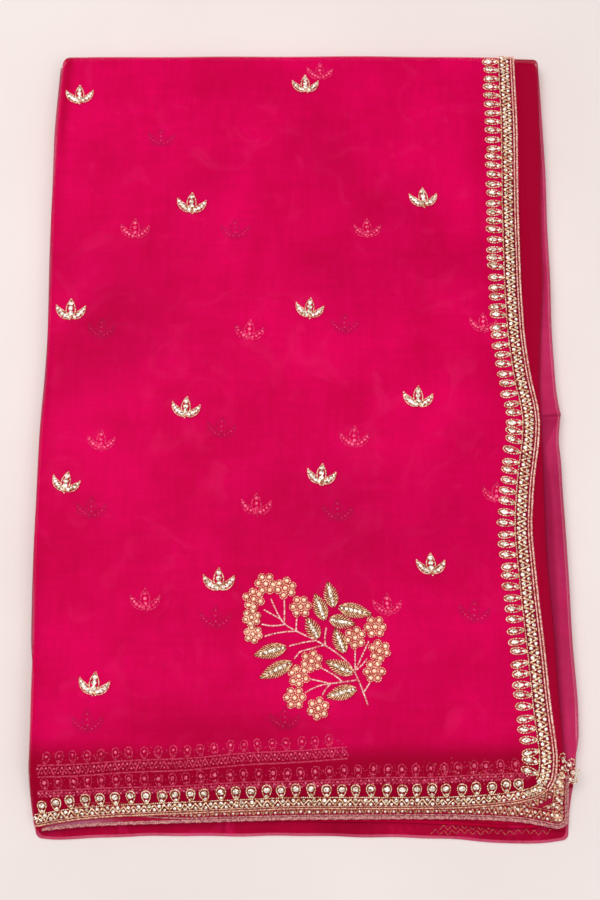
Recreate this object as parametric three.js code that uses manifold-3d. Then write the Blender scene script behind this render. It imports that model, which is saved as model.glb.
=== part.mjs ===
// A net saree, folded for the shelf: the cloth is pleated to and fro along its length, then the pile is
// folded once across the middle of its width. Millimetres. X runs across the folds, Y from the stacked hems
// to the big top fold, and Z is up. The origin is the middle of the underside.
import * as THREE from "three";
import Module from "manifold-3d";

const wasm = await Module();
wasm.setup();

// ---------------------------------------------------------------- driving sizes
const HEM_Y = -280; // the lowest stretch's hem, the nearest edge
const TOP_FOLD_Y = 286; // the outside of the big fold
const CREST = 21; // height of the top stretch's face in the middle of the pile
const CLOTH = 1.2; // one wall of cloth
const SEAM = 0.3; // the gap between neighbouring pieces
const LAYER_GAP = 0.8; // the gap between two stretches that lie on each other
const TRIM_LIFT = 0.4; // what is sewn on lies this far off its panel
const BASE_TOP = 1.4; // thickness of the lowest stretch
const SHELF = 9.9; // height of the ledge that the lower folds make
const HEM_LEVEL = 8.2; // height of the top stretch's face beyond its front hem

// The outlines of the pile by distance along Y. left and right: the outermost folds. lip: the second
// stretch's fold on the right. edge: the outer line of the top stretch's end border.
const SIDE_ROWS = [
  { y: -280, left: -177.5, right: 177.5, lip: 175.5, edge: 163.0 },
  { y: -262, left: -182.0, right: 178.5, lip: 175.0, edge: 164.5 },
  { y: -248, left: -183.5, right: 182.5, lip: 174.5, edge: 167.0 },
  { y: -230, left: -184.0, right: 185.5, lip: 174.0, edge: 169.0 },
  { y: -195, left: -184.3, right: 186.0, lip: 172.8, edge: 165.5 },
  { y: -161, left: -185.0, right: 185.0, lip: 171.5, edge: 163.5 },
  { y: -122, left: -186.0, right: 184.5, lip: 170.0, edge: 160.5 },
  { y: -76, left: -187.3, right: 184.5, lip: 169.0, edge: 157.8 },
  { y: -44, left: -187.3, right: 183.0, lip: 170.0, edge: 160.8 },
  { y: -10, left: -187.0, right: 182.8, lip: 172.5, edge: 166.6 },
  { y: 8, left: -186.5, right: 183.6, lip: 172.0, edge: 167.2 },
  { y: 30, left: -185.6, right: 181.5, lip: 169.5, edge: 162.2 },
  { y: 63, left: -185.0, right: 181.4, lip: 172.0, edge: 158.7 },
  { y: 100, left: -185.2, right: 181.9, lip: 175.0, edge: 157.8 },
  { y: 160, left: -186.4, right: 181.7, lip: 177.8, edge: 158.4 },
  { y: 225, left: -186.6, right: 182.0, lip: 179.6, edge: 160.4 },
  { y: 286, left: -184.6, right: 180.6, lip: 180.0, edge: 160.4 },
];

// The front hems by distance along X. upper: the top stretch. second: the stretch under it. base: the lowest.
const FRONT_ROWS = [
  { x: -188, upper: -275.0, second: -276.3, base: -277.0 },
  { x: -174, upper: -273.4, second: -275.4, base: -280.0 },
  { x: -156, upper: -269.7, second: -273.0, base: -280.0 },
  { x: -130, upper: -267.2, second: -271.4, base: -278.4 },
  { x: -83, upper: -265.2, second: -270.0, base: -277.8 },
  { x: -4, upper: -261.8, second: -267.8, base: -277.8 },
  { x: 64, upper: -261.9, second: -267.4, base: -278.6 },
  { x: 105, upper: -261.5, second: -267.4, base: -280.2 },
  { x: 136, upper: -259.2, second: -268.6, base: -282.4 },
  { x: 152, upper: -256.2, second: -270.0, base: -282.8 },
  { x: 168, upper: -250.6, second: -274.0, base: -281.4 },
  { x: 188, upper: -246.0, second: -277.0, base: -279.0 },
];

// Soft swells of the loosely folded net. reachX, reachY: half widths. rise: height at the centre.
const SWELLS = [
  { x: -95, y: 175, reachX: 120, reachY: 110, rise: 0.9 },
  { x: 70, y: 215, reachX: 130, reachY: 90, rise: 0.7 },
  { x: 85, y: 60, reachX: 110, reachY: 120, rise: 1.0 },
  { x: -60, y: -20, reachX: 150, reachY: 60, rise: -0.8 },
  { x: 30, y: -95, reachX: 130, reachY: 90, rise: 1.1 },
  { x: -120, y: -130, reachX: 90, reachY: 90, rise: -0.7 },
  { x: -30, y: -205, reachX: 160, reachY: 50, rise: 0.8 },
];

// ---------------------------------------------------------------- small functions
const lerp = (from, to, share) => from + (to - from) * share;

/** A smooth step from 0 at start to 1 at end. */
function ease(value, start, end) {
  return THREE.MathUtils.smoothstep(Math.sign(end - start) * value, Math.sign(end - start) * start,
    Math.sign(end - start) * end);
}

/** Reads one column of a table at a place, with straight lines between its rows. */
function column(rows, place, at, name) {
  let next = rows.findIndex((row) => row[place] >= at);
  if (next < 0) next = rows.length - 1;
  if (next === 0) return rows[0][name];
  const [low, high] = [rows[next - 1], rows[next]];
  const share = THREE.MathUtils.clamp((at - low[place]) / (high[place] - low[place]), 0, 1);
  return lerp(low[name], high[name], share);
}

const side = (name) => (y) => column(SIDE_ROWS, "y", y, name);
const front = (name) => (x) => column(FRONT_ROWS, "x", x, name);

/** Height of the top stretch's outer face, and of the smooth surface that it would run on to. */
function pileTop(x, y) {
  let height = CREST;
  for (const swell of SWELLS) {
    const reach = Math.hypot((x - swell.x) / swell.reachX, (y - swell.y) / swell.reachY);
    if (reach < 1) height += swell.rise * 0.5 * (1 + Math.cos(Math.PI * reach));
  }
  const settled = height - 3 * ease(x, 105, 188) - 1.6 * ease(x, -120, -186) - 1.5 * ease(y, 215, 290);
  return lerp(settled, HEM_LEVEL, ease(y, -230, -268));
}

/** Collects triangles on merged points and leaves out those that have collapsed. */
class Skin {
  constructor() {
    this.points = [];
    this.faces = [];
    this.known = new Map();
  }

  add(x, y, z) {
    const key = [x, y, z].map((value) => Math.round(value * 500)).join();
    if (!this.known.has(key)) {
      this.known.set(key, this.points.length / 3);
      this.points.push(x, y, z);
    }
    return this.known.get(key);
  }

  face(a, b, c) {
    if (a !== b && b !== c && c !== a) this.faces.push(a, b, c);
  }

  quad(a, b, c, d) {
    this.face(a, b, c);
    this.face(a, c, d);
  }

  /** Joins two closed rings of equal length. The first lies outside or above. */
  band(upper, lower) {
    upper.forEach((a, k) => {
      const next = (k + 1) % upper.length;
      this.quad(a, lower[k], lower[next], upper[next]);
    });
  }

  /** Closes a ring of point numbers, flattened onto two of the axes. turned: against the ring's order. */
  cap(ring, turned = false, axes = [0, 1]) {
    const flat = ring.map((k) => new THREE.Vector2(...axes.map((axis) => this.points[3 * k + axis])));
    const ringArea = THREE.ShapeUtils.area(flat);
    for (const [a, b, c] of THREE.ShapeUtils.triangulateShape(flat, [])) {
      const along = THREE.ShapeUtils.area([flat[a], flat[b], flat[c]]) * ringArea > 0;
      if (along !== turned) this.face(ring[a], ring[b], ring[c]);
      else this.face(ring[a], ring[c], ring[b]);
    }
  }

  /** Six times the volume that the faces shut in, negative if they point inwards. */
  volume() {
    const corner = (k) => new THREE.Vector3().fromArray(this.points, 3 * k);
    let sum = 0;
    for (let k = 0; k < this.faces.length; k += 3) {
      const [a, b, c] = this.faces.slice(k, k + 3).map(corner);
      sum += a.dot(b.cross(c));
    }
    return sum;
  }

  geometry() {
    if (this.volume() < 0) this.faces.reverse();
    const geometry = new THREE.BufferGeometry();
    geometry.setAttribute("position", new THREE.Float32BufferAttribute(this.points, 3));
    geometry.setIndex(this.faces);
    geometry.computeVertexNormals();
    return geometry;
  }
}

/** Joins closed geometries into one. */
function join(geometries) {
  const solids = geometries.map((geometry) => new wasm.Manifold(new wasm.Mesh({
    numProp: 3,
    vertProperties: new Float32Array(geometry.attributes.position.array),
    triVerts: new Uint32Array(geometry.index.array),
  })));
  const mesh = wasm.Manifold.union(solids).getMesh();
  const geometry = new THREE.BufferGeometry();
  geometry.setAttribute("position", new THREE.BufferAttribute(new Float32Array(mesh.vertProperties), 3));
  geometry.setIndex(new THREE.BufferAttribute(new Uint32Array(mesh.triVerts), 1));
  geometry.computeVertexNormals();
  return geometry;
}

const materials = new Map();

/** One named sub-part with a material of its own. */
function piece(name, geometry, color, roughness = 0.6, metalness = 0) {
  const mesh = new THREE.Mesh(geometry, new THREE.MeshStandardMaterial({ color, roughness, metalness }));
  mesh.name = name;
  materials.set(name, mesh.material);
  return mesh;
}

// ---------------------------------------------------------------- stretches of cloth
const ROLL_STEPS = 3; // straight lines in a fold's quarter turn

/** Grid lines of one side of a stretch, from its edge inwards. A rolled side turns down and ends at a level. */
function sideLines(roll, inset) {
  if (!roll) return [{ out: 0, share: 0, settle: 0 }];
  const radius = roll - inset;
  const lines = [{ out: radius, share: 1, settle: 1 }];
  for (let k = 0; k <= ROLL_STEPS; k += 1) {
    const turn = (Math.PI / 2) * (1 - k / ROLL_STEPS);
    lines.push({ out: radius * Math.sin(turn), share: Math.sin(turn), settle: 0 });
  }
  return lines;
}

/**
 * Points of one face of a stretch, row by row from the front. The face follows the top of the pile, lowered
 * by depth, and turns down in a quarter round at the sides that have a roll.
 */
function stretchFace(plan, depth, inset) {
  const across = [];
  const [left, right] = [[plan.left, -1, 0], [plan.right, 1, 1]].map(([way, turn, at]) => (
    sideLines(way.roll, inset).map((line) => ({ ...line, end: way.end, turn, at }))
  ));
  across.push(...left);
  for (let k = 1; k < plan.columns; k += 1) {
    across.push({ out: 0, share: 0, settle: 0, turn: 0, at: k / plan.columns });
  }
  across.push(...right.reverse());
  const along = plan.rows.map((at) => ({ out: 0, share: 0, settle: 0, at }));
  const back = sideLines(plan.back.roll, inset).map((line) => ({ ...line, end: plan.back.end, at: 1 }));
  along.push(...back.reverse());

  return along.map((row) => across.map((line) => {
    const midY = lerp(HEM_Y, TOP_FOLD_Y, row.at);
    const from = plan.left.edge(midY) + plan.left.roll;
    const to = plan.right.edge(midY) - plan.right.roll;
    const flatX = lerp(from, to, line.at);
    const x = flatX + line.turn * line.out * Math.sqrt(1 - row.share ** 2 / 2);
    const flatY = lerp(plan.front.edge(x), plan.back.edge(x) - plan.back.roll, row.at);
    const y = flatY + row.out * Math.sqrt(1 - line.share ** 2 / 2);
    const tilt = line.share ** 2 + row.share ** 2 - line.share ** 2 * row.share ** 2;
    const radius = Math.max(line.share ? line.out / line.share : 0, row.share ? row.out / row.share : 0);
    const height = pileTop(x, y) - depth - radius * (1 - Math.sqrt(Math.max(0, 1 - tilt)));
    const ends = [line, row].map((way) => (way.settle ? way.end : height));
    return [x, y, Math.min(height, ...ends)];
  }));
}

/** A stretch of cloth as one closed wall. */
function stretch(plan) {
  const skin = new Skin();
  const sheets = [stretchFace(plan, plan.depth, 0), stretchFace(plan, plan.depth + CLOTH, CLOTH)];
  const [outer, inner] = sheets.map((rows) => rows.map((row) => row.map((point) => skin.add(...point))));
  const last = outer.length - 1;
  const end = outer[0].length - 1;
  for (let j = 0; j < last; j += 1) {
    for (let i = 0; i < end; i += 1) {
      skin.quad(outer[j][i], outer[j][i + 1], outer[j + 1][i + 1], outer[j + 1][i]);
      skin.quad(inner[j][i], inner[j + 1][i], inner[j + 1][i + 1], inner[j][i + 1]);
    }
  }
  const rim = (grid) => [
    ...grid[0].slice(0, end),
    ...grid.slice(0, last).map((row) => row[end]),
    ...grid[last].slice(1).reverse(),
    ...grid.slice(1).map((row) => row[0]).reverse(),
  ];
  skin.band(rim(outer), rim(inner));
  return skin.geometry();
}

/** Shares of the way from hem to top fold at which rows lie: close together where the front slopes down. */
function rowShares(slopeRows, slopeShare, flatRows) {
  const shares = [];
  for (let k = 0; k < slopeRows; k += 1) shares.push((slopeShare * k) / slopeRows);
  for (let k = 0; k < flatRows; k += 1) shares.push(lerp(slopeShare, 1, k / flatRows));
  return shares;
}

const TOP_ROLL = 6.5;
const TOP_INSET = 2.4; // how far the top stretch's left fold lies inside the lower ones
const UNDER = CLOTH + LAYER_GAP; // from one stretch's face down to the next one's
const topPlan = {
  depth: 0,
  columns: 17,
  rows: rowShares(7, 0.072, 18),
  left: { edge: (y) => side("left")(y) + TOP_INSET, roll: TOP_ROLL, end: SHELF + 2 * SEAM },
  right: { edge: side("edge"), roll: 0 },
  front: { edge: front("upper") },
  back: { edge: () => TOP_FOLD_Y, roll: TOP_ROLL, end: BASE_TOP + 2 * SEAM },
};

const SECOND_ROLL = 4.5;
const SECOND_INSET = 8; // its left hem, clear inside the top stretch's fold
const secondPlan = {
  depth: UNDER,
  columns: 10,
  rows: rowShares(7, 0.08, 12),
  left: { edge: (y) => side("left")(y) + SECOND_INSET, roll: 0 },
  right: { edge: side("lip"), roll: SECOND_ROLL, end: SHELF + 2 * SEAM },
  front: { edge: front("second") },
  back: { edge: () => TOP_FOLD_Y - UNDER, roll: SECOND_ROLL, end: BASE_TOP + 2 * SEAM },
};

// The hidden layers' sides, from the underside up. level: height. left, right, front, back: how far each
// side lies in from the outermost folds there. The lower folds stand out as ridges, with grooves between.
const STACK_RINGS = [
  { level: 1.7, left: 1.4, right: 4.4, front: 9.0, back: 5.6 },
  { level: 2.6, left: 0.2, right: 3.2, front: 8.0, back: 5.0 },
  { level: 3.6, left: 1.5, right: 3.2, front: 9.4, back: 5.6 },
  { level: 4.6, left: 0.3, right: 3.2, front: 16.0, back: 5.0 },
  { level: 5.6, left: 1.6, right: 3.2, front: 21.5, back: 5.6 },
  { level: 6.6, left: 0.6, right: 3.2, front: 26.0, back: 5.0 },
  { level: 8.0, left: 1.0, right: 4.2, front: 29.0, back: 5.6 },
];
const STACK_CORNER = 14; // its corner radius in plan
const THIRD_FOLD = 2.6; // the third stretch's fold radius
const STACK_GAP = 0.3; // more room under the second stretch, because the stack's rings are wide apart
const STACK_SHRINK = [0.985, 0.85, 0.65, 0.4, 0.15]; // rings of the upper face, as shares of its size
const SIDE_STEPS = 12;
const END_STEPS = 9;
const CORNER_STEPS = 3;

const LOOP_Y = -236; // in front of this the second stretch's fold is the outermost one on the right
const LOOP_ROOM = 4.5; // how far the stack then keeps inside that fold
/** The right side of the stack's lower part, drawn in behind the loop at the front. */
const lowerX = (y) => lerp(side("lip")(y) - LOOP_ROOM, side("right")(y), ease(y, LOOP_Y, LOOP_Y + 25));

const LEDGE_X = 166; // the right side of the stack's upper part, clear inside the second stretch's fold

const PARTS_OF_STACK = { lower: lowerX, upper: () => LEDGE_X, foot: side("right") };

/** One ring round the pile, anticlockwise. insets: from the outermost folds. part: which right side it has. */
function stackRing(insets, part = "lower", cornerRadius = STACK_CORNER) {
  const ring = [];
  const backY = TOP_FOLD_Y - insets.back;
  const leftX = (y) => side("left")(y) + insets.left;
  const rightX = (y) => PARTS_OF_STACK[part](y) - insets.right;
  const frontY = (x) => front("base")(x) + insets.front;
  const corner = (centreX, centreY, start) => {
    for (let k = 0; k <= CORNER_STEPS; k += 1) {
      const turn = start + (Math.PI / 2) * (k / CORNER_STEPS);
      ring.push([centreX + cornerRadius * Math.cos(turn), centreY + cornerRadius * Math.sin(turn)]);
    }
  };
  const lowY = (x) => frontY(x) + cornerRadius;
  const highY = backY - cornerRadius;
  const farRight = (y) => rightX(y) - cornerRadius;
  const farLeft = (y) => leftX(y) + cornerRadius;
  const frontRight = farRight(HEM_Y);
  const frontLeft = farLeft(HEM_Y);
  corner(frontRight, lowY(frontRight), -Math.PI / 2);
  for (let k = 1; k < SIDE_STEPS; k += 1) {
    const y = lerp(lowY(frontRight), highY, k / SIDE_STEPS);
    ring.push([rightX(y), y]);
  }
  corner(farRight(highY), highY, 0);
  for (let k = 1; k < END_STEPS; k += 1) ring.push([lerp(farRight(highY), farLeft(highY), k / END_STEPS), backY]);
  corner(farLeft(highY), highY, Math.PI / 2);
  for (let k = 1; k < SIDE_STEPS; k += 1) {
    const y = lerp(highY, lowY(frontLeft), k / SIDE_STEPS);
    ring.push([leftX(y), y]);
  }
  corner(frontLeft, lowY(frontLeft), Math.PI);
  for (let k = 1; k < END_STEPS; k += 1) {
    const x = lerp(frontLeft, frontRight, k / END_STEPS);
    ring.push([x, frontY(x)]);
  }
  return ring;
}

// How far the stack's upper part lies in from the folds.
const STACK_UPPER = { left: 4.6, right: 0, front: 30.5, back: 5.6 };

/** The hidden layers as one rounded solid, flat above and below, with the folds' edges on its sides. */
function foldedStack() {
  const skin = new Skin();
  const faceHeight = (x, y) => pileTop(x, y) - 2 * UNDER - STACK_GAP;
  const rings = STACK_RINGS.map((row) => stackRing(row).map(([x, y]) => skin.add(x, y, row.level)));
  const upper = stackRing(STACK_UPPER, "upper");
  const ledge = SHELF - 2 * SEAM - CLOTH;
  rings.push(upper.map(([x, y]) => skin.add(x, y, Math.min(ledge, faceHeight(x, y) - 1))));
  rings.push(upper.map(([x, y]) => skin.add(x, y, faceHeight(x, y) - 0.5)));
  const middleY = (HEM_Y + TOP_FOLD_Y) / 2;
  for (const share of STACK_SHRINK) {
    rings.push(upper.map(([x, y]) => {
      const [nearX, nearY] = [x * share, middleY + (y - middleY) * share];
      return skin.add(nearX, nearY, faceHeight(nearX, nearY));
    }));
  }
  for (let k = 1; k < rings.length; k += 1) skin.band(rings[k], rings[k - 1]);
  skin.cap(rings[0], true);
  skin.cap(rings[rings.length - 1]);
  return skin.geometry();
}

/** Joins closed sections, each across the same axis, into one solid. axes: the two that a section lies in. */
function sweep(sections, axes) {
  const skin = new Skin();
  const loops = sections.map((section) => section.map((point) => skin.add(...point)));
  for (let k = 1; k < loops.length; k += 1) skin.band(loops[k], loops[k - 1]);
  skin.cap(loops[0], true, axes);
  skin.cap(loops[loops.length - 1], false, axes);
  return skin.geometry();
}

const THIRD_ROWS = 20;

/** The third stretch: out from under the second one's fold, then down round the lower layers on the right. */
function thirdStretch() {
  const sections = [];
  for (let k = 0; k <= THIRD_ROWS; k += 1) {
    const y = lerp(LOOP_Y, TOP_FOLD_Y - 16, k / THIRD_ROWS);
    const outX = side("right")(y);
    const inX = LEDGE_X + 2 * SEAM;
    const foot = BASE_TOP + 2 * SEAM;
    const face = Math.min(SHELF, pileTop(outX, y) - UNDER - CLOTH);
    const arc = (radius) => [0, 0.5, 1].map((share) => {
      const turn = (Math.PI / 2) * share;
      return [outX - THIRD_FOLD + radius * Math.cos(turn), face - THIRD_FOLD + radius * Math.sin(turn)];
    });
    const loop = [[outX, foot], ...arc(THIRD_FOLD), [inX, face], [inX, face - CLOTH],
      ...arc(THIRD_FOLD - CLOTH).reverse(), [outX - CLOTH, foot]];
    sections.push(loop.map(([x, z]) => [x, y, z]));
  }
  return sweep(sections, [0, 2]);
}

const BASE_CORNER = 6;

/** The lowest stretch: it lies flat on its underside and its folds and hem stand out all round. */
function baseStretch() {
  const skin = new Skin();
  const insets = { left: 1.2, right: 1.2, front: 0.4, back: 2.4 };
  const foot = stackRing(insets, "foot", BASE_CORNER);
  const rise = stackRing({ ...insets, left: 0.8, right: 0.8, front: 0 }, "foot", BASE_CORNER);
  const rings = [
    foot.map(([x, y]) => skin.add(x, y, 0)),
    rise.map(([x, y]) => skin.add(x, y, BASE_TOP / 2)),
    foot.map(([x, y]) => skin.add(x, y, BASE_TOP)),
  ];
  skin.band(rings[1], rings[0]);
  skin.band(rings[2], rings[1]);
  skin.cap(rings[0], true);
  skin.cap(rings[2]);
  return skin.geometry();
}

// ---------------------------------------------------------------- sewn-on work
/** A raised motif on the top stretch. outline: points in plan, anticlockwise. steps: its rings as they rise. */
function raised(outline, steps, surface = pileTop) {
  const skin = new Skin();
  const centre = outline.reduce(([x, y], point) => [x + point[0], y + point[1]], [0, 0])
    .map((value) => value / outline.length);
  const rings = steps.map(({ size, lift }) => outline.map(([x, y]) => {
    const [nearX, nearY] = [lerp(centre[0], x, size), lerp(centre[1], y, size)];
    return skin.add(nearX, nearY, surface(nearX, nearY) + lift);
  }));
  for (let k = 1; k < rings.length; k += 1) skin.band(rings[k], rings[k - 1]);
  skin.cap(rings[0], true);
  skin.cap(rings[rings.length - 1]);
  return skin.geometry();
}

/** A pointed petal's outline from its base, in a direction. belly: where along it it is widest. */
function petalOutline(x, y, heading, length, width, belly) {
  const ahead = new THREE.Vector2(Math.cos(heading), Math.sin(heading));
  const aside = new THREE.Vector2(-ahead.y, ahead.x);
  const flank = [[belly * 0.45, 0.36], [belly, 0.5], [(1 + belly) / 2, 0.34]];
  const stations = [[0, 0], ...flank.map(([along, across]) => [along, -across]), [1, 0], ...flank.reverse()];
  return stations.map(([along, across]) => [
    x + ahead.x * along * length + aside.x * across * width,
    y + ahead.y * along * length + aside.y * across * width,
  ]);
}

const BEAD_STEPS = [{ size: 1, lift: TRIM_LIFT }, { size: 1, lift: 1.3 }, { size: 0.5, lift: 2.3 }];
const DROP_STEPS = [{ size: 1, lift: TRIM_LIFT + 0.05 }, { size: 0.65, lift: 2.2 }];
const DROP = { length: 12, width: 4.8, pitch: 7.2 }; // a drop of the end border
const HEM_DROP = { length: 8.4, width: 6.4, pitch: 9.9 }; // a rounder drop of the long border
const BAND_WIDTH = 16; // from a border's outer cord in to its gold line

// The band's raised section. across: share of its width from the outer cord. rise: over the panel.
const BAND_SECTION = [
  { across: 0.03, rise: 1.9 }, { across: 0.22, rise: 1.9 }, { across: 0.3, rise: 1.3 }, { across: 1, rise: 1.6 },
];

const BORDER_KNEE_ROWS = 6; // sections of the end border where the front slopes down, and behind that
const BORDER_ROWS = 36;

/** The beaded border of the top stretch's end: a band along its right edge, with drops that point inwards. */
function endBorder() {
  const edge = side("edge");
  const sections = [];
  const [startY, kneeY, stopY] = [front("upper")(163) + 9, -215, TOP_FOLD_Y - TOP_ROLL - 1];
  for (let k = -BORDER_KNEE_ROWS; k <= BORDER_ROWS; k += 1) {
    const y = k < 0 ? lerp(kneeY, startY, -k / BORDER_KNEE_ROWS) : lerp(kneeY, stopY, k / BORDER_ROWS);
    const at = (across, lift) => {
      const x = edge(y) - BAND_WIDTH * across;
      return [x, y, pileTop(x, y) + lift];
    };
    const under = [1, 0.5, 0.03].map((across) => at(across, TRIM_LIFT));
    sections.push([...under, ...BAND_SECTION.map(({ across, rise }) => at(across, rise))]);
  }
  const drops = [];
  for (let y = startY + 12; y < stopY - 3; y += DROP.pitch) {
    const x = edge(y) - BAND_WIDTH + 1;
    drops.push(raised(petalOutline(x, y, Math.PI, DROP.length + 1, DROP.width, 0.55), DROP_STEPS));
  }
  return join([sweep(sections, [0, 2]), ...drops]);
}

const HEM_BAND_WIDTH = 10.5; // the long border's band, in plan, where it runs down the front

/** The beaded border of the top stretch's long edge, with drops that point up the cloth. */
function hemBorder() {
  const hem = front("upper");
  const sections = [];
  const [startX, stopX, columns] = [-172, 156, 32];
  for (let k = 0; k <= columns; k += 1) {
    const x = lerp(stopX, startX, k / columns);
    const at = (across, lift) => {
      const y = hem(x) + 0.2 + HEM_BAND_WIDTH * across;
      return [x, y, pileTop(x, y) + lift];
    };
    const under = [1, 0.75, 0.5, 0.25, 0.03].map((across) => at(across, TRIM_LIFT + 0.05));
    sections.push([...under, ...BAND_SECTION.map(({ across, rise }) => at(across, rise))]);
  }
  const drops = [];
  for (let x = startX + 6; x < 134; x += HEM_DROP.pitch) {
    const y = hem(x) + HEM_BAND_WIDTH - 0.6;
    drops.push(raised(petalOutline(x, y, Math.PI / 2, HEM_DROP.length, HEM_DROP.width, 0.6), DROP_STEPS));
  }
  return join([sweep(sections, [1, 2]), ...drops]);
}

/** The second stretch's long border: a strip in front of the top hem that widens to the loop on the right. */
function secondBorder() {
  const sections = [];
  const [startX, stopX, columns] = [-150, 168, 24];
  for (let k = 0; k <= columns; k += 1) {
    const x = lerp(stopX, startX, k / columns);
    const [outY, inY] = [front("second")(x) + 0.3, front("upper")(x) - 2 * SEAM];
    const at = (share, lift) => {
      const y = lerp(outY, inY, share);
      return [x, y, pileTop(x, y) - UNDER + lift];
    };
    const under = [1, 0.66, 0.33, 0].map((share) => at(share, TRIM_LIFT));
    const over = [0, 0.33, 0.66, 1].map((share) => at(share, TRIM_LIFT + 0.9));
    sections.push([...under, ...over]);
  }
  return sweep(sections, [1, 2]);
}

// The small three-petalled motifs of the field, in rows of a diamond lattice. x, y: centre. turn: degrees.
const BUTTIS = [
  { x: -166, y: 252, turn: 0 }, { x: 3, y: 260, turn: 0 },
  { x: -80, y: 163, turn: 0 }, { x: 89, y: 168, turn: 0 },
  { x: -165, y: 82, turn: 0 }, { x: 6, y: 83, turn: 0 },
  { x: -81, y: 10, turn: 0 }, { x: 82, y: 17, turn: 0 },
  { x: -163, y: -43, turn: -12 }, { x: 14, y: -38, turn: 0 },
  { x: -56, y: -111, turn: 0 }, { x: 88, y: -100, turn: 0 },
  { x: -138, y: -180, turn: 0 },
];
// One motif's petals. heading: degrees from +X. length and width: its size. belly: where it is widest.
const BUTTI_PETALS = [
  { heading: 90, length: 14, width: 6.4, belly: 0.35 },
  { heading: 38, length: 13, width: 4.6, belly: 0.5 },
  { heading: 142, length: 13, width: 4.6, belly: 0.5 },
];
const BUTTI_DROP = 6; // from the motif's centre down to where its petals meet

function butti({ x, y, turn }) {
  const lean = THREE.MathUtils.degToRad(turn);
  const footX = x + BUTTI_DROP * Math.sin(lean);
  const footY = y - BUTTI_DROP * Math.cos(lean);
  return join(BUTTI_PETALS.map(({ heading, length, width, belly }) => raised(
    petalOutline(footX, footY, THREE.MathUtils.degToRad(heading) + lean, length, width, belly), BEAD_STEPS,
  )));
}

// The corner spray. Its main stem leans up and to the left from its foot. Each row is a point, X and Y.
const MAIN_STEM = [
  [43.5, -193.5], [35.5, -171.5], [27.5, -163], [15.5, -154.5], [-4, -145.5], [-12, -141], [-16, -135],
  [-21.5, -123],
];
// Side stems, from the main stem to where each ends, short of its flower or leaf.
const SIDE_STEMS = [
  [[-12, -141], [-12, -124.5]], [[-14, -137.5], [-26.3, -130.8]], [[-12, -141], [-26.5, -141]],
  [[-4, -145.5], [-25.5, -149]], [[-4, -145.5], [-3.5, -137]], [[8.5, -151.8], [-8.5, -155.3]],
  [[15.5, -154.5], [-1.5, -159], [-5, -163.5]], [[15.5, -154.5], [16.3, -143]],
  [[35.5, -171.5], [35.5, -157.5]], [[35.5, -171.5], [39.5, -163], [45, -151.5]],
  [[35.5, -171.5], [43.5, -163.5]], [[40.8, -186], [45, -179.5]], [[27, -178.8], [13, -170]],
  [[37.5, -177.5], [19, -180], [5, -176.8]], [[19, -180], [2, -186]], [[19, -180], [13.5, -187.5]],
];
// Flowers. radius: over the tips of the lobes.
const SPRAY_FLOWERS = [
  { x: -24.5, y: -113.8, radius: 6.4 }, { x: -11.4, y: -116.7, radius: 6.4 },
  { x: -32.8, y: -124.2, radius: 6.4 }, { x: -1, y: -129.2, radius: 6.4 },
  { x: -34, y: -136.3, radius: 5.4 }, { x: -32.9, y: -147.4, radius: 5.4 },
  { x: 49.1, y: -142.6, radius: 6.4 }, { x: 35.5, y: -149.8, radius: 6.4 },
  { x: 51.7, y: -158.4, radius: 6.4 }, { x: 48.1, y: -171.8, radius: 6.4 },
  { x: 6.3, y: -165.2, radius: 6.4 }, { x: -2.2, y: -175, radius: 6.4 },
  { x: -4.9, y: -189.1, radius: 6.4 }, { x: 10.6, y: -196, radius: 6.4 },
];
// Leaves. x, y: base. heading: degrees from +X. length: along the middle.
const SPRAY_LEAVES = [
  { x: 21.2, y: -129.4, heading: 103, length: 17 }, { x: 15.2, y: -138.1, heading: 110, length: 18.5 },
  { x: 24.6, y: -129.6, heading: 348, length: 22.5 }, { x: 18.3, y: -137.6, heading: 349, length: 17.5 },
  { x: 10.7, y: -150.3, heading: 119, length: 15.7 }, { x: 28.3, y: -159.6, heading: 112, length: 16.8 },
  { x: 34, y: -173.3, heading: 156, length: 19.8 }, { x: -10.6, y: -156.1, heading: 194, length: 21.9 },
  { x: -6.7, y: -165.8, heading: 206, length: 23.6 }, { x: 36, y: -183.3, heading: 195, length: 20.5 },
];
const LOBES = 6;
const WAIST = 0.82; // a flower's reach between its lobes, as a share of its radius
const LEAF_WIDTH = 7.8;
const STEM_WIDTH = 1.4;

/** A flower of six pearls about a seventh, as a lobed boss. */
function flower({ x, y, radius }, turn) {
  const outline = [];
  for (let k = 0; k < 2 * LOBES; k += 1) {
    const angle = turn + (Math.PI * k) / LOBES;
    const reach = k % 2 ? radius * WAIST : radius;
    outline.push([x + reach * Math.cos(angle), y + reach * Math.sin(angle)]);
  }
  return raised(outline, [...BEAD_STEPS.slice(0, 2), { size: 0.8, lift: 2.4 }, { size: 0.35, lift: 2.7 }]);
}

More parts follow.
